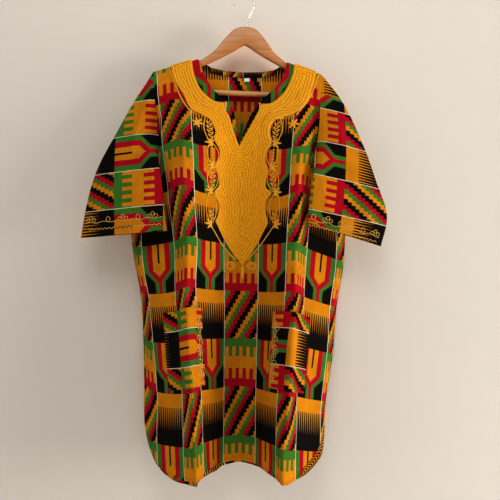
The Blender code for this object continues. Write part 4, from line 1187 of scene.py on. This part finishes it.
# ------------------------------------------------------------ sleeves
def sleeve_layers(name, rings=112, around=64):
    """Front and back layer of a sleeve, as places, (rings, around, 3). Each is
    the surface between the armhole, the cuff and the two long folds:
    edge line of the ring + the armhole's own shape, faded by a fifth of the length,
    + a swell of sqrt(sin(pi k)) from flat."""
    row = SLEEVES[name]
    armhole, sign = ARMHOLE[row["side"]], (-1.0, 1.0)[row["side"]]
    body_foot = DRAPE.bare("front", armhole, ARMHOLE_DEPTH)
    foot = body_foot + UNDERARM_STEP * (sign, 1.0, 1.0)
    tip = DRAPE.bare("front", armhole, 0.0)
    share = np.linspace(0.0, 1.0, rings)
    depths = ARMHOLE_DEPTH + (row["length"] - ARMHOLE_DEPTH) * share
    inner = DRAPE.bare("front", armhole, depths)
    inner[:, 0] += sign * UNDERARM_STEP[0] * (1.0 - smooth_step(share / 0.5))
    inner[:, 1] -= SLEEVE_FORWARD * np.sin(0.5 * math.pi * np.minimum(share / 0.3, 1.0))
    inner[0] = foot
    table = np.array(row["fold"])
    run = run_along(table)
    outer = np.empty_like(inner)
    outer[:, 0] = tip[0] + sign * curve_through(run, table[:, 0], share * run[-1])
    outer[:, 1] = tip[1] + (SLEEVE_FOLD_Y - tip[1]) * smooth_step(share * 1.2)
    outer[:, 2] = tip[2] - curve_through(run, table[:, 1], share * run[-1])
    layers = []
    for panel, swell in (("front", -SLEEVE_SWELL), ("back", SLEEVE_SWELL)):
        seam = DRAPE.bare(panel, armhole, np.linspace(SEAM_END, 0.0, around - 8))
        step = np.linspace(0.0, 1.0, 9)[:-1, None]
        edge = np.vstack(((1.0 - step) * foot + step * seam[0], seam))
        up = (edge[:, 2] - edge[0, 2]) / (edge[-1, 2] - edge[0, 2])
        even = np.linspace(0.0, 1.0, len(edge))
        cuff = 0.35 * up + 0.65 * even
        a = share[:, None]
        k = (1.0 - a) * up + a * cuff
        start = (1.0 - up)[:, None] * edge[0] + up[:, None] * edge[-1]
        place = (1.0 - k)[..., None] * inner[:, None] + k[..., None] * outer[:, None]
        place += (1.0 - smooth_step(a / 0.2))[..., None] * (edge - start)[None]
        round_off = np.sqrt(np.clip(np.sin(math.pi * k), 0.0, 1.0))
        place[..., 1] += swell * round_off * smooth_step(a * 2.5)
        crease = creases(SLEEVE_CREASES, np.broadcast_to(a, k.shape), k)
        place[..., 1] += math.copysign(1.0, swell) * crease * np.sin(math.pi * k) ** 0.5
        layers.append(place)
    return layers


def sleeve_print(name, place):
    """Print measures of a place on the front layer: across the print by height, and down
    it by the distance outwards."""
    row = SLEEVES[name]
    x, z = place[..., 0], place[..., 2]
    level = z - row["line_lean"] * (x - row["line_x"])
    s = 0.5 * STRIPE + (level - row["line_z"]) / row["line_gap"] * STRIPE
    edge = (row["edge_x"] + row["edge_lean"] * (z - row["edge_z"])
            + row["edge_curve"] * np.maximum(row["edge_z"] - z, 0.0) ** 2)
    down = row["edge_depth"] + x - edge - row["top_shift"] * (s > 2.95 * STRIPE)
    return np.stack((s, down), axis=-1)


def build_sleeve(name):
    """Both layers as one grid round the sleeve. On the back layer the print runs on from
    the fold: twice the fold's measure - the front's."""
    front, back = sleeve_layers(name)
    uv_front = sleeve_print(name, front)
    fold = uv_front[:, -1:, 1]
    uv_back = sleeve_print(name, back)
    uv_back[..., 1] = 2.0 * fold - uv_back[..., 1]
    points = np.hstack((front, back[:, -2::-1]))
    uv = np.hstack((uv_front, uv_back[:, -2::-1]))
    return points, uv


def on_sleeve(name, x, z, lift):
    """Places over the front layer at (x, z), raised towards the viewer."""
    front, _ = sleeve_layers(name, 60, 48)
    flat = front.reshape(-1, 3)
    x, z = np.broadcast_arrays(np.asarray(x, float), np.asarray(z, float))
    gap = (flat[None, :, 0] - x[..., None]) ** 2 + (flat[None, :, 2] - z[..., None]) ** 2
    near = np.argsort(gap, axis=-1)[..., :5]
    weight = 1.0 / (np.take_along_axis(gap, near, axis=-1) + 1e-8)
    y = (flat[near, 1] * weight).sum(axis=-1) / weight.sum(axis=-1)
    return np.stack((x, y - lift, z), axis=-1)


# ------------------------------------------------------------ bib
def bib_outline():
    """Closed outline of the embroidery, without its double points."""
    runs = [smooth_line(run, 0.0015) for run in BIB_RUNS]
    return np.vstack([run[:-1] for run in runs])


def inside(outline, s, t):
    """Even-odd rule: how often a line to the right crosses the outline."""
    crossed = np.zeros(np.shape(s), bool)
    for (s0, t0), (s1, t1) in zip(outline, np.roll(outline, -1, axis=0)):
        if t0 == t1:
            continue
        at = s0 + (t - t0) * (s1 - s0) / (t1 - t0)
        crossed ^= ((t0 > t) != (t1 > t)) & (s < at)
    return crossed


def nearest_on(outline, points):
    """Nearest place on the outline, and the distance to it."""
    start = outline
    run = np.roll(outline, -1, axis=0) - start
    length = (run ** 2).sum(axis=1) + 1e-15
    best = np.full(len(points), np.inf)
    place = np.zeros_like(points)
    for a, ab, size in zip(start, run, length):
        share = np.clip(((points - a) @ ab) / size, 0.0, 1.0)
        foot = a + share[:, None] * ab
        gap = np.hypot(*(points - foot).T)
        closer = gap < best
        best[closer] = gap[closer]
        place[closer] = foot[closer]
    return place, best


def build_bib():
    """Rows of chain stitch that follow the outline: rise x |sin(pi d / row)|, where d is
    the distance to the outline. Cells at the edge are drawn to the outline."""
    outline = bib_outline()
    low, high = outline.min(axis=0), outline.max(axis=0)
    s = np.arange(low[0] - BIB_STEP, high[0] + 2 * BIB_STEP, BIB_STEP)
    t = np.arange(low[1] - BIB_STEP, high[1] + 2 * BIB_STEP, BIB_STEP)
    grid_s, grid_t = np.meshgrid(s, t)
    middle_s, middle_t = np.meshgrid(s[:-1] + 0.5 * BIB_STEP, t[:-1] + 0.5 * BIB_STEP)
    cells = inside(outline, middle_s, middle_t)
    share = np.zeros(grid_s.shape, int)
    for down in (0, 1):
        for right in (0, 1):
            share[down:down + cells.shape[0], right:right + cells.shape[1]] += cells
    used = share > 0
    flat = np.stack((grid_s[used], grid_t[used]), axis=-1)
    place, distance = nearest_on(outline, flat)
    edge = share[used] < 4
    flat[edge] = place[edge]
    distance[edge] = 0.0
    numbers = np.full(grid_s.shape, -1)
    numbers[used] = np.arange(used.sum())
    quads = np.stack((numbers[:-1, :-1], numbers[1:, :-1], numbers[1:, 1:], numbers[:-1, 1:]),
                     axis=-1)[cells]
    ridge = np.abs(np.sin(math.pi * distance / STITCH_ROW)) ** 0.7
    lift = BIB_WALL + BIB_LIFT + STITCH_RISE * ridge
    points = DRAPE.place("front", flat[:, 0], np.maximum(flat[:, 1], 0.0), lift)
    return points, quads.tolist(), np.stack((flat[:, 0], distance), axis=-1)


def on_front(path, lift):
    """A path in cloth measures, laid on the front: its places, and the cloth's normals
    there."""
    path = np.asarray(path, float)
    return (DRAPE.place("front", path[:, 0], path[:, 1], lift),
            DRAPE.normal("front", path[:, 0], path[:, 1]))


def petal(place, angle, length):
    """Straight path of a padded petal, from its foot outwards."""
    way = np.array((math.cos(angle), math.sin(angle)))
    return np.asarray(place) + np.linspace(0.0, length, 7)[:, None] * way


def arc_between(a, b, bulge):
    """Half of an oval from a to b: bulge x sin(pi v)^0.7 to the left of the way."""
    v = np.linspace(0.0, 1.0, 30)
    _, aside = way_and_aside(a, b)
    return a + v[:, None] * (b - a) + (bulge * np.sin(math.pi * v) ** 0.7)[:, None] * aside


def chain_paths(side):
    """Cords, petals and thick cords of one side chain. Between two crossings the twin
    cords make an oval, which holds a scribble: a narrow sine that swells in the middle.
    A lily of petals stands on each crossing, away from the bib."""
    row = CHAINS[side]
    knots = [np.array(row["start"])] + [np.array(c) for c in row["crossings"]]
    thin, petals = [], []
    for number, (a, b) in enumerate(zip(knots, knots[1:])):
        for bulge in (side * OVAL[0], -side * OVAL[1]):
            thin.append(arc_between(a, b, bulge))
        if number == 1:         # a row of knots down the oval's middle
            for share in np.linspace(0.25, 0.78, 5):
                petals.append(petal(a + share * (b - a), math.radians(90.0), 0.0045))
            continue
        at = np.linspace(0.56 if number == 3 else 0.20, 0.86, 90)
        turns = np.linalg.norm(b - a) / SCRIBBLE["pitch"]
        swing = np.sin(2.0 * math.pi * turns * at) * np.sin(math.pi * at) ** 0.6
        swing = SCRIBBLE["swing"] * swing + SCRIBBLE["aside"] * side
        curl = SCRIBBLE["curl"] * np.cos(4.0 * math.pi * turns * at)
        way, aside = way_and_aside(a, b)
        thin.append(a + at[:, None] * (b - a) + curl[:, None] * way + swing[:, None] * aside)
    for knot in knots[1:]:
        for angle, length in LILY:
            turned = angle if side > 0 else 180.0 - angle
            petals.append(petal(knot + (0.002 * side, 0.0), math.radians(turned), length))
    for number in range(6):
        petals.append(petal(row["star"], 0.25 + number * math.pi / 3.0, STAR_RAY))
    for number in range(4):
        foot = np.array(row["start"]) + (-side * 0.0045 * (number - 1.2), -0.001 - 0.001 * number)
        petals.append(petal(foot, math.radians(90 + side * 22), 0.0085))
    turn = np.linspace(-0.3 * math.pi, 2.5 * math.pi, 48)
    ring = np.array(row["ring"]) + CURL_RADIUS * np.stack(
        (side * np.cos(turn), -np.sin(turn)), axis=-1) * np.linspace(1.0, 0.45, 48)[:, None]
    thick = [smooth_line(row["tail"], 0.002), ring, smooth_line(row["edge"], 0.002)]
    return thin, petals, thick


def border_paths(row):
    """Cords of one border in its own plane: a wavy line, a zigzag beside it, single
    loops, and trefoils of three loops on a short stem."""
    start, end = (np.array(place) for place in row["line"])
    length = np.linalg.norm(end - start)
    way, aside = way_and_aside(start, end)

    def lay(along, up):
        return start + np.asarray(along)[:, None] * way - np.asarray(up)[:, None] * aside

    def wave(at):
        return BORDER_WAVE[0] * np.sin(2.0 * math.pi * at / BORDER_WAVE[1])

    loop = row["loop"]
    run = np.linspace(0.0, length, 140)
    corner = np.arange(0.004, length - 0.002, 0.0052)
    sharp = 0.0017 * (-1.0) ** np.arange(len(corner)) - row["zigzag"]
    run_fine = np.linspace(corner[0], corner[-1], 8 * len(corner))
    paths = [lay(run, wave(run)), lay(run_fine, np.interp(run_fine, corner, sharp))]
    turn = np.linspace(-0.5 * math.pi, 1.5 * math.pi, 22)
    for share in row["loops"]:
        at, foot = share * length, wave(share * length)
        paths.append(lay(at + loop * np.cos(turn), foot + 1.35 * loop * (1.0 + np.sin(turn))))
    for share in row["trefoils"]:
        at, foot = share * length, wave(share * length)
        paths.append(lay([at, at, at], [foot, foot + 0.5 * loop, foot + loop]))
        for lean in (-1.4, 0.0, 1.4):
            middle = at + 1.7 * loop * math.sin(lean)
            height = foot + loop + 1.35 * loop * math.cos(lean)
            paths.append(lay(middle + 0.85 * loop * np.cos(turn - lean),
                             height + 0.85 * loop * np.sin(turn - lean)))
    return paths


def sew(name, panel, path, lift):
    """Stitches along a path in cloth measures: at even steps, a short thread that stands
    highest in its middle."""
    run = run_along(path)
    starts = np.arange(0.5 * SEWN_STEP, run[-1] - SEWN_LENGTH, SEWN_STEP)
    at = starts[:, None] + np.linspace(0.0, SEWN_LENGTH, 3)
    s, t = np.interp(at, run, path[:, 0]), np.interp(at, run, path[:, 1])
    places = DRAPE.place(panel, s, t, lift * np.array((0.3, 1.0, 0.3)))
    ready(tubes(name, places, DRAPE.normal(panel, s, t), SEWN_THREAD, finish_of("stitch"),
                sides=4), "print")


# ------------------------------------------------------------ operators
class ShirtOperator(bpy.types.Operator):
    """Shared settings of the operators below"""
    bl_options = {"REGISTER", "UNDO"}

    @classmethod
    def poll(cls, context):
        return hasattr(context.scene, "shirt_cloth")


class BuildPanels(ShirtOperator):
    """Front and back: cloth hung in folds from the shoulders, with hem stitching"""
    bl_idname = "shirt.panels"
    bl_label = "Front and back"

    def execute(self, context):
        cloth = context.scene.shirt_cloth
        for name in ("front", "back"):
            points, faces, uv = build_panel(name, cloth.column)
            panel = make_object(name + "_cloth", points, faces, uv, finish_of("print"))
            give_wall(panel, cloth.wall)
            ready(panel, "print", name)
            edge = np.linspace(SIDE[0] + 0.012, SIDE[1] - 0.012, 300)
            sew(name + "_hem_stitches", name,
                np.stack((edge, hem(edge) - HEM_SEAM), axis=-1), THREAD_LIFT)
        return {"FINISHED"}


class BuildSleeves(ShirtOperator):
    """Both sleeves: flat tubes that hang from the armholes"""
    bl_idname = "shirt.sleeves"
    bl_label = "Sleeves"

    def execute(self, context):
        cloth = context.scene.shirt_cloth
        for name in SLEEVES:
            sleeve = cloth_grid(name + "_cloth", *build_sleeve(name), "print", cloth.wall,
                                turned=SLEEVES[name]["side"] == 0)
            ready(sleeve, "print", name)
        return {"FINISHED"}


class BuildPockets(ShirtOperator):
    """Two patch pockets on the front, their print turned a quarter"""
    bl_idname = "shirt.pockets"
    bl_label = "Pockets"

    def execute(self, context):
        cloth = context.scene.shirt_cloth
        for name, row in POCKETS.items():
            s = np.linspace(min(row["across"]), max(row["across"]), 52)
            t = np.linspace(*POCKET_DEPTHS, 70)
            across, down = np.meshgrid(s, t)
            lift = POCKET_LIFT - 0.0006 * np.exp(-(np.minimum(
                np.minimum(across - s[0], s[-1] - across), t[-1] - down) / 0.004) ** 2)
            points = DRAPE.place("front", across, down, lift)
            uv = np.stack((0.5 * STRIPE + row["line"] - down,
                           row["edge_depth"] + across - row["edge"]), axis=-1)
            pocket = cloth_grid(name + "_cloth", points, uv, "pocket", cloth.wall)
            ready(pocket, "print", name)
            left, right = s[0] + POCKET_SEAM, s[-1] - POCKET_SEAM
            top, foot = t[0] + 0.002, t[-1] - POCKET_SEAM
            sew(name + "_stitches", "front",
                np.array(((left, top), (left, foot), (right, foot), (right, top))),
                POCKET_LIFT + 0.0002)
        return {"FINISHED"}


class BuildBib(ShirtOperator):
    """Gold embroidery round the neck: rows of chain stitch and its border cords"""
    bl_idname = "shirt.bib"
    bl_label = "Bib"

    def execute(self, context):
        points, faces, uv = build_bib()
        bib = make_object("bib", points, faces, uv, finish_of("gold"), sharp=None)
        give_wall(bib, BIB_WALL)
        ready(bib, "print")
        outline = bib_outline()
        closed = np.vstack((outline, outline[:1]))
        keep = closed[:, 1] > 0.0045
        place, normal = on_front(closed[keep], BIB_WALL + CORD_LIFT)
        breaks = np.flatnonzero(np.linalg.norm(np.diff(place, axis=0), axis=1) > 0.012) + 1
        ready(tubes("bib_border", np.split(place, breaks), np.split(normal, breaks),
                    context.scene.shirt_thread.cord, finish_of("cord"), sides=6), "print")
        return {"FINISHED"}


class BuildChains(ShirtOperator):
    """Side chains of crossing cords, with petals, scrolls and tails"""
    bl_idname = "shirt.chains"
    bl_label = "Embroidered chains"

    def execute(self, context):
        thin, petals, thick = [], [], []
        for side in CHAINS:
            for kept, made in zip((thin, petals, thick), chain_paths(side)):
                kept += made
        widths = [PETAL] * len(petals) + [DROP]
        petals.append(petal((0.003, 0.474), math.radians(88), 0.037))
        for name, paths, radius, flat, taper in (
                ("chain_cords", thin, CHAIN_CORD, 0.7, None),
                ("chain_petals", petals, widths, 0.5,
                 lambda at: np.sin(math.pi * (0.06 + 0.90 * at ** 0.8)) ** 0.6),
                ("chain_tails", thick, TAIL_CORD, 0.7, None)):
            places, normals = zip(*(on_front(path, CORD_LIFT) for path in paths))
            ready(tubes(name, places, normals, radius, finish_of("cord"), flat=flat,
                        taper=taper), "print")
        return {"FINISHED"}


class BuildBorders(ShirtOperator):
    """Borders of loops and trefoils on the cuffs and the pockets"""
    bl_idname = "shirt.borders"
    bl_label = "Cuff and pocket embroidery"

    def execute(self, context):
        for name, row in BORDERS.items():
            places, normals = [], []
            for path in border_paths(row):
                if name in SLEEVES:
                    place = on_sleeve(name, path[:, 0], path[:, 1], THREAD_LIFT)
                    normal = np.broadcast_to((0.0, -1.0, 0.0), place.shape)
                else:
                    place, normal = on_front(path, POCKET_LIFT + THREAD_LIFT)
                places.append(place)
                normals.append(normal)
            ready(tubes(name + "_border", places, normals, BORDER_CORD, finish_of("pale"),
                        flat=0.8, sides=5), "print")
        return {"FINISHED"}


class BuildHems(ShirtOperator):
    """Hem facings where they show: beneath the front's hem, and turned up over it"""
    bl_idname = "shirt.hems"
    bl_label = "Hem facings"

    def execute(self, context):
        for name, row in HEM_STRIPS.items():
            start, end = row["across"]
            s = start + (end - start) * (1.0 - np.linspace(1.0, 0.0, 900) ** 2)
            run = run_along(np.stack((s, hem(s)), axis=-1))
            even = np.linspace(0.0, run[-1], 260)
            edge = np.stack((np.interp(even, run, s), hem(np.interp(even, run, s))), axis=-1)
            along = np.gradient(edge, axis=0)
            inward = unit(np.stack((along[:, 1], -along[:, 0]), axis=-1))
            fade = row["fade"]
            ends = smooth_step(even / fade[0]) * smooth_step((run[-1] - even) / fade[1])
            width = np.interp(even, (0.0, run[-1]), row["width"]) * (0.15 + 0.85 * ends)
            beyond = np.interp(even, (0.0, run[-1]), row["beyond"]) * ends
            share = np.linspace(0.0, 1.0, 6)[:, None]
            off = width * (1.0 - share) - beyond
            across = edge[:, 0] + off * inward[:, 0]
            down = edge[:, 1] + off * inward[:, 1]
            points = DRAPE.hang("front", across, down, row["lift"])
            uv = np.stack(((row["print"][0] + 0.0 * share) * STRIPE
                           + 0.68 * even % (row["print"][1] * STRIPE)
                           + row["lean"] * np.abs(2.0 * share - 1.0),
                           ROW_START + ROW * (0.35 + 0.07 * share) + 0.0 * across), axis=-1)
            ready(cloth_grid(name, points, uv, "facing", LINING_WALL), "print")
        return {"FINISHED"}


class BuildFacing(ShirtOperator):
    """Strip inside the back neck, and its bare tag"""
    bl_idname = "shirt.facing"
    bl_label = "Neck facing"

    def execute(self, context):
        s = np.linspace(NECK_MIDDLE - FACING_HALF, NECK_MIDDLE + FACING_HALF, 90)
        share = np.linspace(0.0, 1.0, 9)[:, None]
        across = np.broadcast_to(s, (9, 90))
        down = neck(s, BACK_NECK) + 0.0006 + FACING_DEPTH * share
        points = DRAPE.place("back", across, down, FACING_LIFT)
        uv = np.stack((0.5 * STRIPE + across * 1.7, 0.300 + down * 2.2), axis=-1)
        facing = cloth_grid("facing_cloth", points, uv, "facing", FACING_WALL)
        ready(facing, "print", "neck_facing")
        low, high = (np.array(corner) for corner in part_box("size_tag"))
        x = np.linspace(low[0] + TAG_INSET[0], high[0] - TAG_INSET[0], 9)
        z = np.linspace(high[2], low[2] + TAG_INSET[1], 7)
        x, z = np.meshgrid(x, z)
        curl = 0.0009 * np.sin(math.pi * (x - low[0]) / (high[0] - low[0]))
        y = low[1] + 0.0001 - curl
        tag = cloth_grid("tag_cloth", np.stack((x, y, z), axis=-1), None, "tag", LINING_WALL)
        ready(tag, "tag", "size_tag")
        return {"FINISHED"}


def hanger_place(points):
    """Level places set to the hanger's tilt."""
    x, y, z = np.moveaxis(np.asarray(points, float), -1, 0)
    return np.stack((HEAD_X + x + ROW_TILT * z, y, z - ROW_TILT * x), axis=-1)


def arm_top(x, clear):
    """Height of the arm's upper edge, clear beneath the cloth. The tilt moves the place
    across with the height, so both are worked out three times."""
    level = -0.17 + 0.0 * x
    for _ in range(3):
        place = HEAD_X + x + ROW_TILT * level
        across = place - CENTRE_X - 0.12 * CENTRE_LEAN
        level = DRAPE.bare("front", across, 0.0 * across)[..., 2] - clear + ROW_TILT * x
    return level


def arm_stations():
    """Distance, upper and lower edge along the arms, drawn out smoothly between the
    named ones."""
    head = np.array(HEAD_OUTLINE)
    stations = []
    for sign, tip in zip((-1.0, 1.0), TIPS):
        rows = [(x, top, foot) for x, top, foot in head]
        for x, foot, clear in ARM_UNDERSIDE:
            rows.append((x, float(arm_top(np.array(sign * x), clear)), foot))
        step = tip - EAR_WIDTH
        last, fall, _ = ARM_UNDERSIDE[-1]
        rows.append((step, float(arm_top(np.array(sign * step), WOOD_CLEAR)),
                     fall - 0.47 * (step - last)))
        rows = np.array(rows)
        at = np.concatenate((np.linspace(0.0, 0.100, 41), np.linspace(0.104, step, 22)))
        even = np.stack((at, curve_through(rows[:, 0], rows[:, 1], at),
                         np.interp(at, rows[:, 0], rows[:, 2])), axis=-1)
        smooth = curve_through(rows[:8, 0], rows[:8, 2], at)
        even[:, 2] = np.where(at < 0.10, smooth, even[:, 2])
        ear = np.array([step + EAR_STEP, step + 0.006, tip - 0.0045, tip - 0.0015, tip])
        top = arm_top(sign * ear, WOOD_CLEAR) - np.array((0, 0, 0, 0.0012, 0.0045))
        foot = EAR_FOOT + np.array((0, 0, 0, 0.0012, 0.0045))
        rows = np.vstack((even, np.stack((ear, top, foot), axis=-1)))
        rows[:, 0] *= sign
        stations.append(rows if sign > 0 else rows[:0:-1])
    return np.vstack(stations)


def build_arms(steps=12):
    """Section of the arm: straight sides between two half rounds, carried along the
    stations."""
    rows = arm_stations()
    half = 0.5 * WOOD
    angle = math.pi * np.arange(steps + 1) / steps
    high = np.stack((half * np.cos(angle), -half + half * np.sin(angle)), axis=-1)
    low = np.stack((-half * np.cos(angle), half - half * np.sin(angle)), axis=-1)
    ring_y = np.concatenate((high[:, 0], low[:, 0]))
    x = np.broadcast_to(rows[:, :1], (len(rows), len(ring_y)))
    z = np.hstack((rows[:, 1:2] + high[:, 1], rows[:, 2:3] + low[:, 1]))
    narrow = np.ones(len(rows))
    narrow[[0, -1]] = 0.5
    narrow[[1, -2]] = 0.86
    y = ring_y[None, :] * narrow[:, None]
    points = hanger_place(np.stack((x, y, z), axis=-1))
    return close_rings(points)


def close_rings(points):
    """Faces of a closed solid through rings of points, (rings, around, 3)."""
    count, around = points.shape[:2]
    numbers = np.arange(count * around).reshape(count, around)
    faces = grid_faces(np.hstack((numbers, numbers[:, :1])))
    faces.append(numbers[0].tolist())
    faces.append(numbers[-1][::-1].tolist())
    return points.reshape(-1, 3), faces


def pipe(path, radius, around):
    """Round rod along a path in the hanger's plane."""
    path = np.asarray(path, float)
    along = unit(np.gradient(path, axis=0))
    aside = np.stack((along[:, 2], 0.0 * along[:, 0], -along[:, 0]), axis=-1)
    angle = 2.0 * math.pi * np.arange(around) / around
    ring = (np.cos(angle)[None, :, None] * aside[:, None, :]
            + np.sin(angle)[None, :, None] * np.array((0.0, 1.0, 0.0)))
    radius = np.broadcast_to(radius, (len(path),))
    return close_rings(path[:, None, :] + radius[:, None, None] * ring)


class BuildHanger(ShirtOperator):
    """Wooden arms, their bar, and the chromed hook"""
    bl_idname = "shirt.hanger"
    bl_label = "Hanger"

    def execute(self, context):
        arms = solid("arms", build_arms(), "wood")
        ready(arms, "wood", "hanger_arms")
        ends = (-(TIPS[0] - EAR_WIDTH + 0.006), TIPS[1] - EAR_WIDTH + 0.006)
        x = np.linspace(*ends, 40)
        bar_path = hanger_place(np.stack((x, 0.0 * x, 0.0 * x + BAR_Z), axis=-1))
        bar = solid("bar", pipe(bar_path, BAR_RADIUS, 40), "bar")
        ready(bar, "wood", "hanger_bar")
        angle = np.radians(np.linspace(HOOK_FROM, HOOK_TO, 90))
        bend = np.stack((HOOK_RADIUS * np.cos(angle), 0.0 * angle,
                         WIRE_RADIUS - HOOK_RADIUS + HOOK_RADIUS * np.sin(angle)), axis=-1)
        stem = np.array([(x, 0.0, z) for x, z in STEM])
        path = np.vstack((smooth_line(np.vstack((stem, bend[:1])), 0.002)[:-1], bend))
        radius = np.full(len(path), WIRE_RADIUS)
        radius[-3:] *= (0.97, 0.80, 0.40)       # rounded end
        hook = solid("hook", pipe(path, radius, 24), "chrome", sharp=60.0)
        ready(hook, "chrome", "hanger_hook")
        return {"FINISHED"}


class BuildStage(ShirtOperator):
    """Backdrop, floor, soft light and camera"""
    bl_idname = "shirt.stage"
    bl_label = "Stage"

    def execute(self, context):
        stage = context.scene.shirt_stage
        color = tuple(stage.wall)
        tint = tuple(0.93 * part for part in color[:3]) + (1.0,)
        matt = one_sided("Matt wall", color, tint)
        behind, half = CAD_BOX[1][1] + WALL_GAP, STAGE_HALF
        wall, floor = (
            make_object(name, corners, [(0, 1, 2, 3)], None, matt, smooth=False)
            for name, corners in (
                ("backdrop", [(-half, behind, FLOOR_Z), (half, behind, FLOOR_Z),
                              (half, behind, WALL_TOP), (-half, behind, WALL_TOP)]),
                ("floor", [(-half, -half, FLOOR_Z), (half, -half, FLOOR_Z),
                           (half, half, FLOOR_Z), (-half, half, FLOOR_Z)])))
        wall.visible_shadow = False     # the lamp behind it lights the back of the shirt
        world = bpy.data.worlds.new("Room")
        world.use_nodes = True
        light = world.node_tree.nodes["Background"].inputs
        light["Color"].default_value = (1, 0.985, 0.96, 1)
        light["Strength"].default_value = stage.fill
        context.scene.world = world
        for name, (place, aim, size, share) in LAMPS.items():
            lamp = bpy.data.lights.new(name, "AREA")
            lamp.energy = share * stage.key
            lamp.size = size
            lamp.color = (1.0, 0.965, 0.91)
            thing = bpy.data.objects.new(name, lamp)
            thing.location = place
            thing.rotation_mode = "QUATERNION"
            way = Vector(np.array(aim) - np.array(place))
            thing.rotation_quaternion = way.to_track_quat("-Z", "Y")
            context.collection.objects.link(thing)
        camera = bpy.data.cameras.new("camera")
        camera.lens = CAMERA_LENS
        camera.sensor_width = 36.0
        camera.clip_start, camera.clip_end = 0.05, 30.0
        eye = bpy.data.objects.new("camera", camera)
        eye.location = CAMERA_PLACE
        eye.rotation_euler = (math.radians(90.0), 0.0, 0.0)
        context.collection.objects.link(eye)
        context.scene.camera = eye
        context.scene.view_settings.view_transform = "Standard"
        context.scene.view_settings.gamma = 0.78        # deeper colours in the shade
        return {"FINISHED"}


class ShirtPanel(bpy.types.Panel):
    bl_idname = "VIEW3D_PT_shirt"
    bl_label = "Shirt"
    bl_space_type = "VIEW_3D"
    bl_region_type = "UI"
    bl_category = "Shirt"

    def draw(self, context):
        for title, group in (("Cloth", context.scene.shirt_cloth),
                             ("Thread", context.scene.shirt_thread),
                             ("Hanger", context.scene.shirt_hanger),
                             ("Stage", context.scene.shirt_stage)):
            box = self.layout.box()
            box.label(text=title)
            for key in group.__annotations__:
                box.prop(group, key)
        for operator in OPERATORS:
            self.layout.operator(operator.bl_idname)


SETTINGS = {"shirt_cloth": ClothSizes, "shirt_thread": ThreadSizes,
            "shirt_hanger": HangerSizes, "shirt_stage": StageSizes}
OPERATORS = (BuildPanels, BuildSleeves, BuildPockets, BuildBib, BuildChains, BuildBorders,
             BuildHems, BuildFacing, BuildHanger, BuildStage)


def register():
    for kind in (*SETTINGS.values(), *OPERATORS, ShirtPanel):
        bpy.utils.register_class(kind)
    for name, kind in SETTINGS.items():
        setattr(bpy.types.Scene, name, bpy.props.PointerProperty(type=kind))


def unregister():
    for name in SETTINGS:
        delattr(bpy.types.Scene, name)
    for kind in (ShirtPanel, *reversed(OPERATORS), *reversed(list(SETTINGS.values()))):
        bpy.utils.unregister_class(kind)


def main():
    register()
    for operator in OPERATORS:
        space, name = operator.bl_idname.split(".")
        getattr(getattr(bpy.ops, space), name)()


if __name__ == "__main__":
    main()
